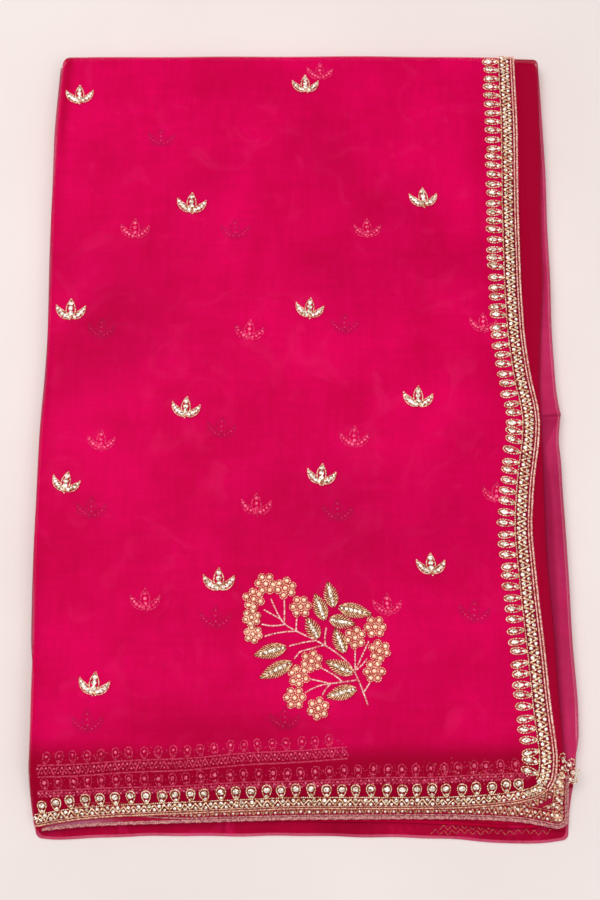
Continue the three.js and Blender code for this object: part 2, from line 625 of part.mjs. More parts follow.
/** A stem as a low strip between two points of the cloth. */
function stemStrip([fromX, fromY], [toX, toY]) {
  const way = new THREE.Vector2(toX - fromX, toY - fromY);
  const steps = Math.max(1, Math.round(way.length() / 12));
  const aside = way.clone().normalize().rotateAround(new THREE.Vector2(), Math.PI / 2);
  const sections = [];
  for (let k = 0; k <= steps; k += 1) {
    const [x, y] = [lerp(fromX, toX, k / steps), lerp(fromY, toY, k / steps)];
    sections.push([[-0.5, TRIM_LIFT], [0.5, TRIM_LIFT], [0, 1.6]].map(([across, lift]) => {
      const [nearX, nearY] = [x - aside.x * across * STEM_WIDTH, y - aside.y * across * STEM_WIDTH];
      return [nearX, nearY, pileTop(nearX, nearY) + lift];
    }));
  }
  const skin = new Skin();
  const loops = sections.map((section) => section.map((point) => skin.add(...point)));
  for (let k = 1; k < loops.length; k += 1) skin.band(loops[k - 1], loops[k]);
  skin.face(loops[0][0], loops[0][1], loops[0][2]);
  const lastLoop = loops[loops.length - 1];
  skin.face(lastLoop[0], lastLoop[2], lastLoop[1]);
  return skin.geometry();
}

function sprayStems() {
  const lines = [MAIN_STEM, ...SIDE_STEMS];
  return join(lines.flatMap((line) => line.slice(1).map((to, k) => stemStrip(line[k], to))));
}

// ---------------------------------------------------------------- the saree
const NET = { pink: 0xd6004e, shade: 0xac0036, deep: 0x9c0030, pale: 0xc2487a, hem: 0xb5124f };
const saree = new THREE.Group();
saree.add(
  piece("base_stretch", baseStretch(), NET.pale),
  piece("folded_stack", foldedStack(), NET.deep),
  piece("third_stretch", thirdStretch(), NET.pale),
  piece("second_stretch", stretch(secondPlan), NET.shade),
  piece("top_stretch", stretch(topPlan), NET.pink),
  piece("second_border", secondBorder(), NET.hem, 0.5),
  piece("hem_border", hemBorder(), 0xc9a063, 0.35, 0.8),
  piece("end_border", endBorder(), 0xd0a06c, 0.35, 0.8),
  piece("spray_stems", sprayStems(), 0xd9967a, 0.4, 0.6),
);
const numbered = (name, index) => `${name}_${String(index + 1).padStart(2, "0")}`;
BUTTIS.forEach((row, k) => saree.add(piece(numbered("butti", k), butti(row), 0xe0d0a8, 0.3, 0.6)));
SPRAY_FLOWERS.forEach((row, k) => saree.add(
  piece(numbered("spray_flower", k), flower(row, 0.35 * k), 0xe3b47a, 0.35, 0.6),
));
SPRAY_LEAVES.forEach(({ x, y, heading, length }, k) => saree.add(piece(
  numbered("spray_leaf", k),
  raised(petalOutline(x, y, THREE.MathUtils.degToRad(heading), length, LEAF_WIDTH, 0.55), BEAD_STEPS),
  0xc9a063, 0.35, 0.7,
)));

// The origin goes to the middle of the underside.
const box = new THREE.Box3().setFromObject(saree);
const middle = box.getCenter(new THREE.Vector3());
saree.position.set(-middle.x, -middle.y, -box.min.z);

export default saree;
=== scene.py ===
"""A net saree folded for the shelf, with beaded borders, small motifs and a corner spray.

Plan sizes are millimetres in the part's own frame, before it was centred; CENTRING carries them over.
"""

import logging
import math
from collections.abc import Callable
from dataclasses import dataclass, field
from enum import Enum, IntEnum
from functools import partial

import bpy
import numpy as np
from numpy.typing import NDArray
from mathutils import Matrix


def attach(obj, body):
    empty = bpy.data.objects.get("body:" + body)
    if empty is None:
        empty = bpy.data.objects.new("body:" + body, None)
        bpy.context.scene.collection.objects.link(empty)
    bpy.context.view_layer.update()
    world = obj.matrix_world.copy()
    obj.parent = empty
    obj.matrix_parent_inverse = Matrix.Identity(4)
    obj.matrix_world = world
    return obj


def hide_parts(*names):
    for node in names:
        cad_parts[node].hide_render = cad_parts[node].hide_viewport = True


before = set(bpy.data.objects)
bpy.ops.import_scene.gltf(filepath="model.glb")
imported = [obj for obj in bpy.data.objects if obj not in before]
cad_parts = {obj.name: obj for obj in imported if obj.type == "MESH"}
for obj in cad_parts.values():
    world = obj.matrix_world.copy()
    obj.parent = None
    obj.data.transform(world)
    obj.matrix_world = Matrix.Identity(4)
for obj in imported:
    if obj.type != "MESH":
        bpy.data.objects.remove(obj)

Array = NDArray[np.float64]
Face = Callable[[Array, Array], Array]  # gives a face's height over places in plan
log = logging.getLogger("saree")


class Facing(Enum):
    """Which way a fold faces."""

    LEFT = -1
    RIGHT = 1


class RightSide(Enum):
    """Which right side an outline of the pile follows."""

    FOOT = 0  # the lowest fold
    LOWER = 1  # the ledge's layers
    UPPER = 2  # the layers above the ledge


class Slot(IntEnum):
    """Material slots of all beadwork."""

    METAL = 0
    STONE = 1
    THREAD = 2
    EXTRA = 3  # a lace's ground, a flower's pearls


MM = 0.001
CENTRING = (0.641, -1.915)  # how far the part was moved along X and Y to centre it
HEM_Y, TOP_FOLD_Y = -280.0, 286.0
CREST = 21.0  # height of the top stretch's face in the middle of the pile
HEM_LEVEL = 8.2  # height of the same face beyond its front hem
UNDER = 2.0  # from one stretch's face down to the next one's
LOWER_CREASED = 0.6  # share of the creases that the second stretch has
TOP_INSET = 2.4  # how far the top stretch's left fold lies inside the outline
SHELF = 9.9  # height of the ledge that the lower folds make
BASE_TOP = 1.4
LEDGE_X = 166.0  # the right side of the stack's upper part
LOOP_Y = -236.0  # in front of this the second stretch's fold is the outermost on the right
CORNER_X, CORNER_R = 153.5, 14.0  # where the top stretch's free corner starts to round, and its radius
LIP_ROLL = 4.5  # radius of the second stretch's fold
TOP_ROLL = 6.5  # radius of the top stretch's folds
LOOP_X, LOOP_R = 167.0, 10.0  # where the second lace's outer corner starts to round, and its radius
LACE_BEND_X = 171.0  # where the second lace starts to bend down over the fold
ON_NET = 0.15  # how far beadwork's base stands off the net it is sewn to
SEEN_FROM = -174.0  # X where the laces seen through the net start
END_X = 163.0  # X on the free corner where the hem's lace gives way to the end's
HEM_STOP_X = 160.0  # X beyond which the net below no longer follows the top hem
RIM_Y = -250.0  # in front of this the lowest stretch has its pale edge
FLOWER_R = 6.4  # radius of a full-size flower
MEAN_OF = 7  # places in the average that rounds a border's line

# Outlines by distance along Y: y, left and right folds, the second stretch's fold, the end border's line.
SIDE_ROWS = np.array([
    (-280, -177.5, 177.5, 175.5, 163.0), (-262, -182.0, 178.5, 175.0, 164.5),
    (-248, -183.5, 182.5, 174.5, 167.0), (-230, -184.0, 185.5, 174.0, 169.0),
    (-195, -184.3, 186.0, 172.8, 165.5), (-161, -185.0, 185.0, 171.5, 163.5),
    (-122, -186.0, 184.5, 170.0, 160.5), (-76, -187.3, 184.5, 169.0, 157.8),
    (-44, -187.3, 183.0, 169.0, 160.8), (-10, -187.0, 182.8, 169.8, 166.6),
    (8, -186.5, 183.6, 169.4, 167.2), (30, -185.6, 181.5, 168.6, 162.2),
    (63, -185.0, 181.4, 172.0, 158.7), (100, -185.2, 181.9, 175.0, 157.8),
    (160, -186.4, 181.7, 176.8, 158.4), (225, -186.6, 182.2, 178.6, 160.4),
    (286, -184.6, 180.6, 180.0, 160.4),
])
SIDE_COLUMNS = {"left": 1, "right": 2, "lip": 3, "edge": 4}
# Front hems by distance along X: x, the top stretch, the second one, the lowest.
FRONT_ROWS = np.array([
    (-188, -275.0, -276.3, -277.0), (-174, -273.4, -275.4, -280.0), (-156, -269.7, -273.0, -280.0),
    (-130, -267.2, -271.4, -278.4), (-83, -265.2, -270.0, -277.8), (-4, -261.8, -267.8, -277.8),
    (64, -261.9, -267.4, -278.6), (105, -261.5, -267.4, -280.2), (136, -259.2, -268.6, -282.4),
    (152, -256.2, -270.0, -282.8), (168, -250.6, -274.0, -281.4), (188, -246.0, -277.0, -279.0),
])
FRONT_COLUMNS = {"upper": 1, "second": 2, "base": 3}
# Soft swells of the pile: x, y, reach along X and Y, rise.
SWELLS = np.array([
    (-95, 175, 120, 110, 0.9), (70, 215, 130, 90, 0.7), (85, 60, 110, 120, 1.0),
    (-60, -20, 150, 60, -0.8), (30, -95, 130, 90, 1.1), (-120, -130, 90, 90, -0.7),
    (-30, -205, 160, 50, 0.8),
])
# Creases of the top net: x, y of the middle, direction in degrees, half length, half width, depth.
CREASES = np.array([
    (-110, -30, 8, 70, 7, -0.5), (60, 120, -6, 90, 9, -0.45), (-40, 230, 4, 110, 8, 0.4),
    (120, 30, 74, 80, 6, -0.5), (-20, 60, -12, 80, 10, 0.45), (-150, 150, 84, 90, 6, -0.4),
    (90, -60, 10, 60, 8, 0.5), (-90, -215, 3, 80, 7, -0.5), (30, -232, -2, 110, 6, 0.5),
    (-130, -90, -20, 50, 8, 0.4), (100, -200, 60, 50, 7, -0.45), (148, 150, 88, 110, 5, 0.4),
    (128, 2, 24, 46, 8, -0.7), (132, -22, -14, 42, 7, 0.5), (-168, 250, 86, 60, 4, -0.6),
    (-20, -160, 16, 60, 12, 0.4), (60, 200, -18, 50, 9, 0.4), (-60, 110, 30, 46, 9, -0.35),
])


# ------------------------------------------------------------------ plan and heights
def smoothed(rows: Array, column: int, at: Array, window: float) -> Array:
    """Reads a table's column at places, with its corners rounded off.

    The straight-line reading is averaged over a window, by five readings spread across it.

    Args:
        rows: The table, places in its first column.
        column: The column to read.
        at: The places.
        window: The width of the average, in mm.

    Returns:
        The values.
    """
    spread = window * np.linspace(-0.5, 0.5, 5)
    places = np.asarray(at, float)[..., None] + spread
    return np.interp(places, rows[:, 0], rows[:, column]).mean(-1)


def side(name: str, y: Array) -> Array:
    """Reads one of the outlines along Y."""
    return smoothed(SIDE_ROWS, SIDE_COLUMNS[name], y, 18.0)


def front(name: str, x: Array) -> Array:
    """Reads one of the front hems along X."""
    return smoothed(FRONT_ROWS, FRONT_COLUMNS[name], x, 20.0)


def ease(value: Array, start: float, end: float) -> Array:
    """Gives a smooth step, three t squared less two t cubed, from 0 at start to 1 at end."""
    share = np.clip((np.asarray(value, float) - start) / (end - start), 0.0, 1.0)
    return share * share * (3.0 - 2.0 * share)


def stacked(*parts: Array | float) -> Array:
    """Stacks parts of one shape, or numbers, side by side as the last axis."""
    return np.stack(np.broadcast_arrays(*parts), -1)


def towards(turn: Array | float) -> Array:
    """Gives the unit direction in plan of an angle."""
    return stacked(np.cos(turn), np.sin(turn))


def leftward(turn: Array | float) -> Array:
    """Gives the unit direction in plan to the left of an angle."""
    return stacked(-np.sin(turn), np.cos(turn))


def right_edge(y: Array) -> Array:
    """Gives the lower folds' right-hand line: it wavers by a product of sines, and juts at the kink."""
    kink = 1.6 * np.exp(-abs(y - 8.0) / 5.0) - 0.7 * np.exp(-(((y + 12.0) / 9.0) ** 2))
    return side("right", y) + 0.4 * np.sin(y / 17.0) * np.sin(y / 41.0) + kink


def top_hem(x: Array) -> Array:
    """Reads the top stretch's front hem, its free corner rounded by a quarter circle."""
    reach = np.clip(np.asarray(x, float) - CORNER_X, 0.0, 0.994 * CORNER_R)
    return front("upper", x) + CORNER_R - np.sqrt(CORNER_R**2 - reach**2)


def second_hem(x: Array) -> Array:
    """Reads the second stretch's front hem."""
    return front("second", x)


def crease_relief(x: Array, y: Array) -> Array:
    """Sums the creases, each a bell across its line times a raised cosine along it.

    Args:
        x: Places along X.
        y: Places along Y.

    Returns:
        The relief in mm.
    """
    total = np.zeros(np.broadcast(x, y).shape)
    for at_x, at_y, degrees, length, width, depth in CREASES:
        turn = math.radians(degrees)
        along = (x - at_x) * math.cos(turn) + (y - at_y) * math.sin(turn)
        across = (y - at_y) * math.cos(turn) - (x - at_x) * math.sin(turn)
        across = across + 0.03 * width * np.sin(along / 11.0)
        fade = np.cos(np.clip(along / length, -1, 1) * math.pi / 2) ** 2
        total += depth * fade * np.exp(-((across / width) ** 2))
    return total


def pile_top(x: Array, y: Array, creased: float = 1.0) -> Array:
    """Gives the height of the top stretch's face.

    The crest plus raised-cosine swells, less smooth falls towards the right, left and back, all led down
    to the hem level by a smooth step across the front, plus the creases.

    Args:
        x: Places along X.
        y: Places along Y.
        creased: How much of the creases to add.

    Returns:
        The heights in mm.
    """
    height = np.full(np.broadcast(x, y).shape, CREST)
    for at_x, at_y, reach_x, reach_y, rise in SWELLS:
        reach = np.minimum(np.hypot((x - at_x) / reach_x, (y - at_y) / reach_y), 1.0)
        height += rise * 0.5 * (1.0 + np.cos(math.pi * reach))
    height -= 3.0 * ease(x, 105, 188) + 1.6 * ease(-x, 120, 186) + 1.5 * ease(y, 215, 290)
    height += creased * crease_relief(x, y)
    down = ease(-y, 230, 268)
    return height * (1 - down) + HEM_LEVEL * down


def top_face(x: Array, y: Array) -> Array:
    """Gives the top stretch's face: the pile's, less the quarter round of its big fold at the back."""
    over = np.clip(y - (TOP_FOLD_Y - TOP_ROLL), 0.0, 0.97 * TOP_ROLL)
    return pile_top(x, y) - TOP_ROLL + np.sqrt(TOP_ROLL**2 - over**2)


def under_face(x: Array, y: Array) -> Array:
    """Gives the second stretch's face away from its fold."""
    return pile_top(x, y, LOWER_CREASED) - UNDER


def second_face(x: Array, y: Array) -> Array:
    """Gives the second stretch's face: the pile's, lowered, less the quarter round of its right-hand fold."""
    over = np.clip(x - (side("lip", y) - LIP_ROLL), 0.0, 0.98 * LIP_ROLL)
    return under_face(x, y) - LIP_ROLL + np.sqrt(LIP_ROLL**2 - over**2)


def loop_hem(x: Array) -> Array:
    """Reads the second lace's outer line, its right-hand corner rounded by a quarter circle."""
    reach = np.clip(np.asarray(x, float) - LOOP_X, 0.0, 0.99 * LOOP_R)
    return second_hem(x) + LOOP_R - np.sqrt(LOOP_R**2 - reach**2)


def loop_face(x: Array, y: Array) -> Array:
    """Gives the second lace's face: just over the second stretch's, and bent down beyond its fold."""
    return under_face(np.minimum(x, LACE_BEND_X), y) + 0.4 - 0.11 * np.maximum(x - LACE_BEND_X, 0.0) ** 2


def flattened(size: Array, height: float = 0.8) -> Array:
    """Gives sizes that are even in plan, their height a share of that."""
    return stacked(size, size, height * size)


def level_face(height: float) -> Face:
    """Makes a face that is level at a height."""
    return lambda x, y: np.full(np.broadcast(x, y).shape, height)


def bunch_face(x: Array, y: Array) -> Array:
    """Gives the face under the gathered beads: the second stretch's fold, then the ledge below it."""
    return np.maximum(second_face(x, y), SHELF + 0.4)


def normals_at(face: Face, x: Array, y: Array) -> Array:
    """Gives a face's unit normals, from height differences over a step of half a millimetre.

    Args:
        face: The face.
        x: Places along X.
        y: Places along Y.

    Returns:
        The normals, as rows of X, Y and Z.
    """
    step = 0.5
    fall_x = (face(x + step, y) - face(x - step, y)) / (2 * step)
    fall_y = (face(x, y + step) - face(x, y - step)) / (2 * step)
    raw = stacked(-fall_x, -fall_y, 1.0)
    return raw / np.linalg.norm(raw, axis=-1, keepdims=True)


# ------------------------------------------------------------------ meshes
def to_frame(points: Array) -> Array:
    """Turns plan millimetres into metres of the shared frame."""
    return (points + np.array([CENTRING[0], CENTRING[1], 0.0])) * MM


def new_object(name: str, points: Array, faces: list, materials: list, slots: Array | None = None,
               smooth: bool = True, shade: Array | None = None) -> bpy.types.Object:
    """Makes a mesh object at the origin.

    Args:
        name: The piece's name.
        points: Its points, in plan millimetres.
        faces: Arrays of faces, each with one number of corners a face.
        materials: Its materials in slot order.
        slots: The slot of each face, or None for the first.
        smooth: Whether its faces are shaded smooth.
        shade: How far each point's cloth is in painted shade, or None.

    Returns:
        The object.
    """
    mesh = bpy.data.meshes.new(name)
    lists = [corner for block in faces for corner in block.tolist()]
    mesh.from_pydata(to_frame(points).tolist(), [], lists)
    for material in materials:
        mesh.materials.append(material)
    mesh.polygons.foreach_set("use_smooth", np.full(len(lists), smooth))
    if slots is not None:
        mesh.polygons.foreach_set("material_index", slots.astype(np.int32))
    if shade is not None:
        layer = mesh.attributes.new("shade", "FLOAT", "POINT")
        layer.data.foreach_set("value", np.clip(shade, 0, 1).ravel().astype(np.float32))
    mesh.update()
    obj = bpy.data.objects.new(name, mesh)
    bpy.context.scene.collection.objects.link(obj)
    return obj


def grid_faces(rows: int, columns: int, around: bool = False) -> NDArray[np.int64]:
    """Gives the quads of a grid of points stored row by row.

    Args:
        rows: Rows of points.
        columns: Points in a row.
        around: Whether each row closes on itself.

    Returns:
        One row of four corners for each quad, anticlockwise where rows run up and columns to the right.
    """
    start = np.arange(rows - 1)[:, None] * columns
    step = np.arange(columns if around else columns - 1)[None, :]
    after = (step + 1) % columns
    above = start + columns
    return stacked(start + step, start + after, above + after, above + step).reshape(-1, 4)


def lofted(rings: list[Array]) -> tuple[Array, list]:
    """Joins closed rings with the same number of places, from the bottom up, and closes both ends.

    Args:
        rings: The rings, each anticlockwise, as rows of X, Y and Z.

    Returns:
        The points, and the faces in blocks: walls, top and bottom.
    """
    count = len(rings[0])
    last = (len(rings) - 1) * count
    walls = grid_faces(len(rings), count, True)
    return np.vstack(rings), [walls, np.arange(last, last + count)[None, :], np.arange(count)[None, ::-1]]


def place(obj: bpy.types.Object, node_name: str | None) -> None:
    """Puts a piece on the root body, in its node's place if it has one."""
    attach(obj, "root")
    if node_name:
        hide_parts(node_name)


def place_sheet(obj: bpy.types.Object, node_name: str | None) -> None:
    """Puts a sheet of net in its place.

    Args:
        obj: The sheet.
        node_name: The node that it replaces, or None.
    """
    place(obj, node_name)


@dataclass(frozen=True)
class Shape:
    """A small form that is repeated: its points in its own frame and its faces."""

    points: Array
    faces: list


def turned_shape(profile: list[tuple[float, float]], sides: int) -> Shape:
    """Turns a profile about Z and closes it at its poles.

    Each ring is the profile's radius times the cosine and sine of equal turns, at the profile's height.

    Args:
        profile: Radius and height pairs from the bottom up. The first and last radius are 0.
        sides: How many sides a ring has.

    Returns:
        The shape, faces out.
    """
    turn = np.arange(sides) * 2 * math.pi / sides
    rings = np.array(profile[1:-1])
    radius = rings[:, :1]
    ring = stacked(radius * np.cos(turn), radius * np.sin(turn), rings[:, 1:]).reshape(-1, 3)
    bottom, top = len(ring), len(ring) + 1
    points = np.vstack([ring, [[0, 0, profile[0][1]]], [[0, 0, profile[-1][1]]]])
    first, last = np.arange(sides), np.arange(sides) + (len(rings) - 1) * sides
    under, over = stacked(bottom, np.roll(first, -1), first), stacked(top, last, np.roll(last, -1))
    return Shape(points, [grid_faces(len(rings), sides, True), under, over])


def round_profile(bands: int, low: float = -1.0) -> list[tuple[float, float]]:
    """Gives a unit sphere's profile by equal angles, cut flat below a height."""
    heights = np.linspace(-math.pi / 2, math.pi / 2, bands + 1)
    return [(0.0 if k in (0, bands) else math.cos(a), max(math.sin(a), low)) for k, a in enumerate(heights)]


PEARL = turned_shape(round_profile(6), 10)
BEAD = turned_shape(round_profile(4), 6)
# A cut stone: flat table, sloping crown and a shallow base.
STONE = turned_shape([(0, -0.35), (0.86, -0.3), (1.0, 0.05), (0.62, 0.52), (0, 0.56)], 8)
# A marquise stone is the same, drawn in to a point at both ends of its X.
MARQUISE = Shape(STONE.points * stacked(1.0, 1 - 0.42 * abs(STONE.points[:, 0]), 1.0), STONE.faces)
# A bugle bead lies along X: a six-sided tube with blunt ends, one unit long to each side.
_TUBE = turned_shape([(0, -1), (1, -0.93), (1, 0.93), (0, 1)], 6)
BUGLE = Shape(_TUBE.points[:, [2, 0, 1]], _TUBE.faces)


@dataclass
class Beadwork:
    """Gathers copies of small shapes, sewn on to one face, into one mesh."""

    face: Face = top_face
    lift: float = ON_NET  # added to each copy's height over the face
    points: list = field(default_factory=list)
    faces: list = field(default_factory=list)
    slots: list = field(default_factory=list)
    count: int = 0

    def sew(self, shape: Shape, places: Array, sizes: Array, heading: Array | float = 0.0,
            rise: Array | float = 0.0, slot: int = 0) -> None:
        """Adds a copy of a shape at each place, its Z along the cloth's normal and its X along a heading.

        Each copy's points are scaled, turned by the frame of heading, cross and normal, and moved out.

        Args:
            shape: The shape.
            places: Rows of X and Y.
            sizes: Scale along the shape's X, Y and Z: one row, or one row a copy.
            heading: Direction of the shape's X in plan, in radians.
            rise: Height of the shape's centre over the cloth.
            slot: Its material slot.
        """
        places = np.atleast_2d(np.asarray(places, float))
        if not len(places):
            return
        x, y = places.T
        normal = normals_at(self.face, x, y)
        heading = np.broadcast_to(heading, x.shape)
        ahead = stacked(np.cos(heading), np.sin(heading), 0.0)
        ahead -= (ahead * normal).sum(-1, keepdims=True) * normal
        ahead /= np.linalg.norm(ahead, axis=-1, keepdims=True)
        cross = np.cross(normal, ahead)
        sizes = np.broadcast_to(np.atleast_2d(sizes), (len(x), 3))
        base = stacked(x, y, self.face(x, y)) + (np.broadcast_to(rise, x.shape) + self.lift)[:, None] * normal
        local = shape.points[None] * sizes[:, None, :]
        placed = (base[:, None] + local[..., :1] * ahead[:, None] + local[..., 1:2] * cross[:, None]
                  + local[..., 2:] * normal[:, None])
        offsets = self.count + np.arange(len(x)) * len(shape.points)
        for block in shape.faces:
            moved = block[None] + offsets[:, None, None]
            self.faces.append(moved.reshape(-1, block.shape[1]))
            self.slots.append(np.full(len(self.faces[-1]), slot))
        self.points.append(placed.reshape(-1, 3))
        self.count += len(x) * len(shape.points)

    def surface(self, points: Array, faces: Array, slot: int = 0) -> None:
        """Adds a worked-out surface.

        Args:
            points: Its points, in plan millimetres.
            faces: Its faces, by the numbers of those points.
            slot: Its material slot.
        """
        self.faces.append(faces + self.count)
        self.slots.append(np.full(len(faces), slot))
        self.points.append(points)
        self.count += len(points)

    def piece(self, name: str, node_name: str | None, slot: str, materials: list,
              shade: Array | None = None) -> None:
        """Makes the gathered mesh a piece and puts it in its place.

        Args:
            name: The piece's name.
            node_name: The node that it replaces, or None.
            slot: Not used.
            materials: Its materials in slot order.
            shade: How far each point is in painted shade, or None.
        """
        slots = np.concatenate(self.slots)
        obj = new_object(name, np.vstack(self.points), self.faces, materials, slots, shade=shade)
        place(obj, node_name)
        log.info("%s: %d points", name, self.count)


# ------------------------------------------------------------------ finishes
def linear(hex_colour: str) -> tuple[float, float, float, float]:
    """Turns an sRGB hex value into linear colour with full alpha.

    Args:
        hex_colour: The value, as in "#f0e8d8".

    Returns:
        Red, green, blue and alpha.
    """
    parts = [int(hex_colour[k:k + 2], 16) / 255 for k in (1, 3, 5)]
    values = [c / 12.92 if c <= 0.04045 else ((c + 0.055) / 1.055) ** 2.4 for c in parts]
    return (*values, 1.0)


def node(tree: bpy.types.NodeTree, kind: str, settings: dict | None = None,
         **inputs: object) -> bpy.types.Node:
    """Adds a node.

    Args:
        tree: The node tree.
        kind: The node's type, less the ShaderNode that all types start with.
        settings: Its attributes.
        **inputs: A socket to link or a value to set, by input name with underscores for spaces, or by in_ and
            the input's number.

    Returns:
        The node.
    """
    made = tree.nodes.new("ShaderNode" + kind)
    for key, value in (settings or {}).items():
        setattr(made, key, value)
    for key, value in inputs.items():
        target = made.inputs[int(key[3:]) if key.startswith("in_") else key.replace("_", " ")]
        if isinstance(value, bpy.types.NodeSocket):
            tree.links.new(value, target)
        else:
            target.default_value = value
    return made


def principled(name: str, **values: object) -> tuple[
        bpy.types.Material, Callable[..., bpy.types.Node], bpy.types.NodeSocket]:
    """Makes a material and sets constants on its shader's own sockets.

    Args:
        name: The material's name.
        **values: Values by socket name, with underscores for spaces.

    Returns:
        The material, the function that adds a node to it, and the coordinates that its patterns are drawn in.
    """
    material = bpy.data.materials.new(name)
    material.use_nodes = True
    for key, value in values.items():
        material.node_tree.nodes["Principled BSDF"].inputs[key.replace("_", " ")].default_value = value
    add = partial(node, material.node_tree)
    return material, add, add("TexCoord").outputs["Object"]


def feed(material: bpy.types.Material, socket: bpy.types.NodeSocket, *names: str) -> None:
    """Links a socket to inputs of a material's shader."""
    for name in names:
        material.node_tree.links.new(socket, material.node_tree.nodes["Principled BSDF"].inputs[name])


RGBA = {"data_type": "RGBA"}  # makes a mix node mix colours: inputs 6 and 7, output 2


@dataclass(frozen=True)
class NetFinish:
    """Woven silk-like net, dyed and pressed: fine threads with a soft sheen, and it lets light through."""

    name: str
    light: str  # where many threads catch the light
    deep: str  # where the weave shades itself
    shaded: str  # painted shade: where the piece's shade attribute puts the cloth in its own shade, and in random soft clouds
    alpha: float  # share of the view that its threads stop
    roughness: float = 0.5
    sheen: float = 0.05
    thread: float = 1.8  # drawn thread spacing in mm; the real one, 0.4, is too fine to show
    layered: bool = False  # many folds' edges, one over another, with painted shade between them
    edge_gap: float = 0.8  # mm between those edges
    glint: str = "#ff2878"  # where a small crease catches the light

    def material(self) -> bpy.types.Material:
        """Builds the finish: cloudy tone, faint slubs along the threads, painted glints, painted shade, and a
        woven bump.

        The wave node repeats every 2 pi / (20 scale), which gives its scale from the lines' spacing.

        Returns:
            The material.
        """
        material, add, at = principled(
            self.name, Roughness=self.roughness, Alpha=self.alpha, Sheen_Weight=self.sheen,
            Sheen_Roughness=0.35, Sheen_Tint=linear("#ff4088"), Specular_IOR_Level=0.02)
        cloud = add("TexNoise", Vector=at, Scale=17.0, Detail=4.0, Roughness=0.6)
        slubs = [add("TexNoise", Scale=1.0, Detail=2.0,
                     Vector=add("Mapping", Vector=at, Scale=spread).outputs["Vector"]).outputs["Fac"]
                 for spread in ((300.0, 34.0, 60.0), (30.0, 280.0, 60.0))]
        crossed = add("Math", {"operation": "MULTIPLY"}, in_0=slubs[0], in_1=slubs[1])
        tone = add("Math", {"operation": "MULTIPLY_ADD"},
                   in_0=crossed.outputs[0], in_1=0.55, in_2=cloud.outputs["Fac"])
        share = add("MapRange", Value=tone.outputs[0], From_Min=0.46, From_Max=0.82)
        dyed = add("Mix", RGBA, Factor=share.outputs[0], in_6=linear(self.deep), in_7=linear(self.light))
        wisp = add("TexNoise", Vector=at, Scale=30.0, Detail=5.0, Distortion=1.6)
        lit = add("MapRange", Value=wisp.outputs["Fac"], From_Min=0.56, From_Max=0.74, To_Max=0.3)
        bright = add("Mix", RGBA, Factor=lit.outputs[0], in_6=dyed.outputs[2], in_7=linear(self.glint))
        # random soft clouds of painted shade, up to 0.4 of the way to the shaded colour
        patch = add("TexNoise", Vector=at, Scale=7.0, Detail=1.5)
        pool = add("MapRange", Value=patch.outputs["Fac"], From_Min=0.5, From_Max=0.72, To_Max=0.4)
        shade = add("Attribute", {"attribute_name": "shade"})
        most = add("Math", {"operation": "MAXIMUM"}, in_0=shade.outputs["Fac"], in_1=pool.outputs[0])
        colour = add("Mix", RGBA, Factor=most.outputs[0], in_6=bright.outputs[2], in_7=linear(self.shaded))
        if self.layered:  # the folds' edges are wavering lines, evenly apart in height, with painted shade between them
            edges = add("TexWave", {"bands_direction": "Z"}, Vector=at, Distortion=2.5, Detail=2.0,
                        Detail_Scale=0.12, Scale=math.pi / (10 * self.edge_gap * MM))
            share = add("MapRange", Value=edges.outputs["Fac"], To_Max=0.55)
            colour = add("Mix", RGBA,
                         Factor=share.outputs[0], in_6=colour.outputs[2], in_7=linear(self.shaded))
        feed(material, colour.outputs[2], "Base Color")
        threads = [add("TexWave", {"bands_direction": way}, Vector=at, Distortion=0.6, Detail=1.0,
                       Scale=math.pi / (10 * self.thread * MM)).outputs["Fac"] for way in ("X", "Y")]
        weave = add("Math", {"operation": "ADD"}, in_0=threads[0], in_1=threads[1])
        bump = add("Bump", Height=weave.outputs[0], Strength=0.16, Distance=0.12 * MM)
        feed(material, bump.outputs["Normal"], "Normal")
        return material


@dataclass(frozen=True)
class MetalFinish:
    """Plated brass beads and metallic thread: bright, with tone that varies from bead to bead, partly the
    plating's own and partly painted highlight and painted shade.
    """

    name: str
    light: str
    deep: str
    roughness: float = 0.28
    metallic: float = 0.9
    grain: float = 1.2  # mm between changes of tone, about one bead
    painted_glow: float = 0.0  # painted glow: light that the beads give off in their own tone, though they are no lamp, as a share of that tone

    def material(self) -> bpy.types.Material:
        """Builds the finish: plating that is warmer and duller on some beads than on others, the light tone
        partly a painted highlight and the deep tone partly painted shade.

        Returns:
            The material.
        """
        material, add, at = principled(self.name, Metallic=self.metallic, Emission_Strength=self.painted_glow)
        patch = add("TexNoise", Vector=at, Scale=1 / (self.grain * MM), Detail=1.0).outputs["Fac"]
        share = add("MapRange", Value=patch, From_Min=0.4, From_Max=0.6)
        blend = add("Mix", RGBA, Factor=share.outputs[0], in_6=linear(self.deep), in_7=linear(self.light))
        # painted glow: the emission takes the same tone as the colour
        feed(material, blend.outputs[2], "Base Color", "Emission Color")
        worn = add("MapRange", Value=patch, From_Min=0.3, From_Max=0.7,
                   To_Min=self.roughness, To_Max=self.roughness + 0.18)
        feed(material, worn.outputs[0], "Roughness")
        return material


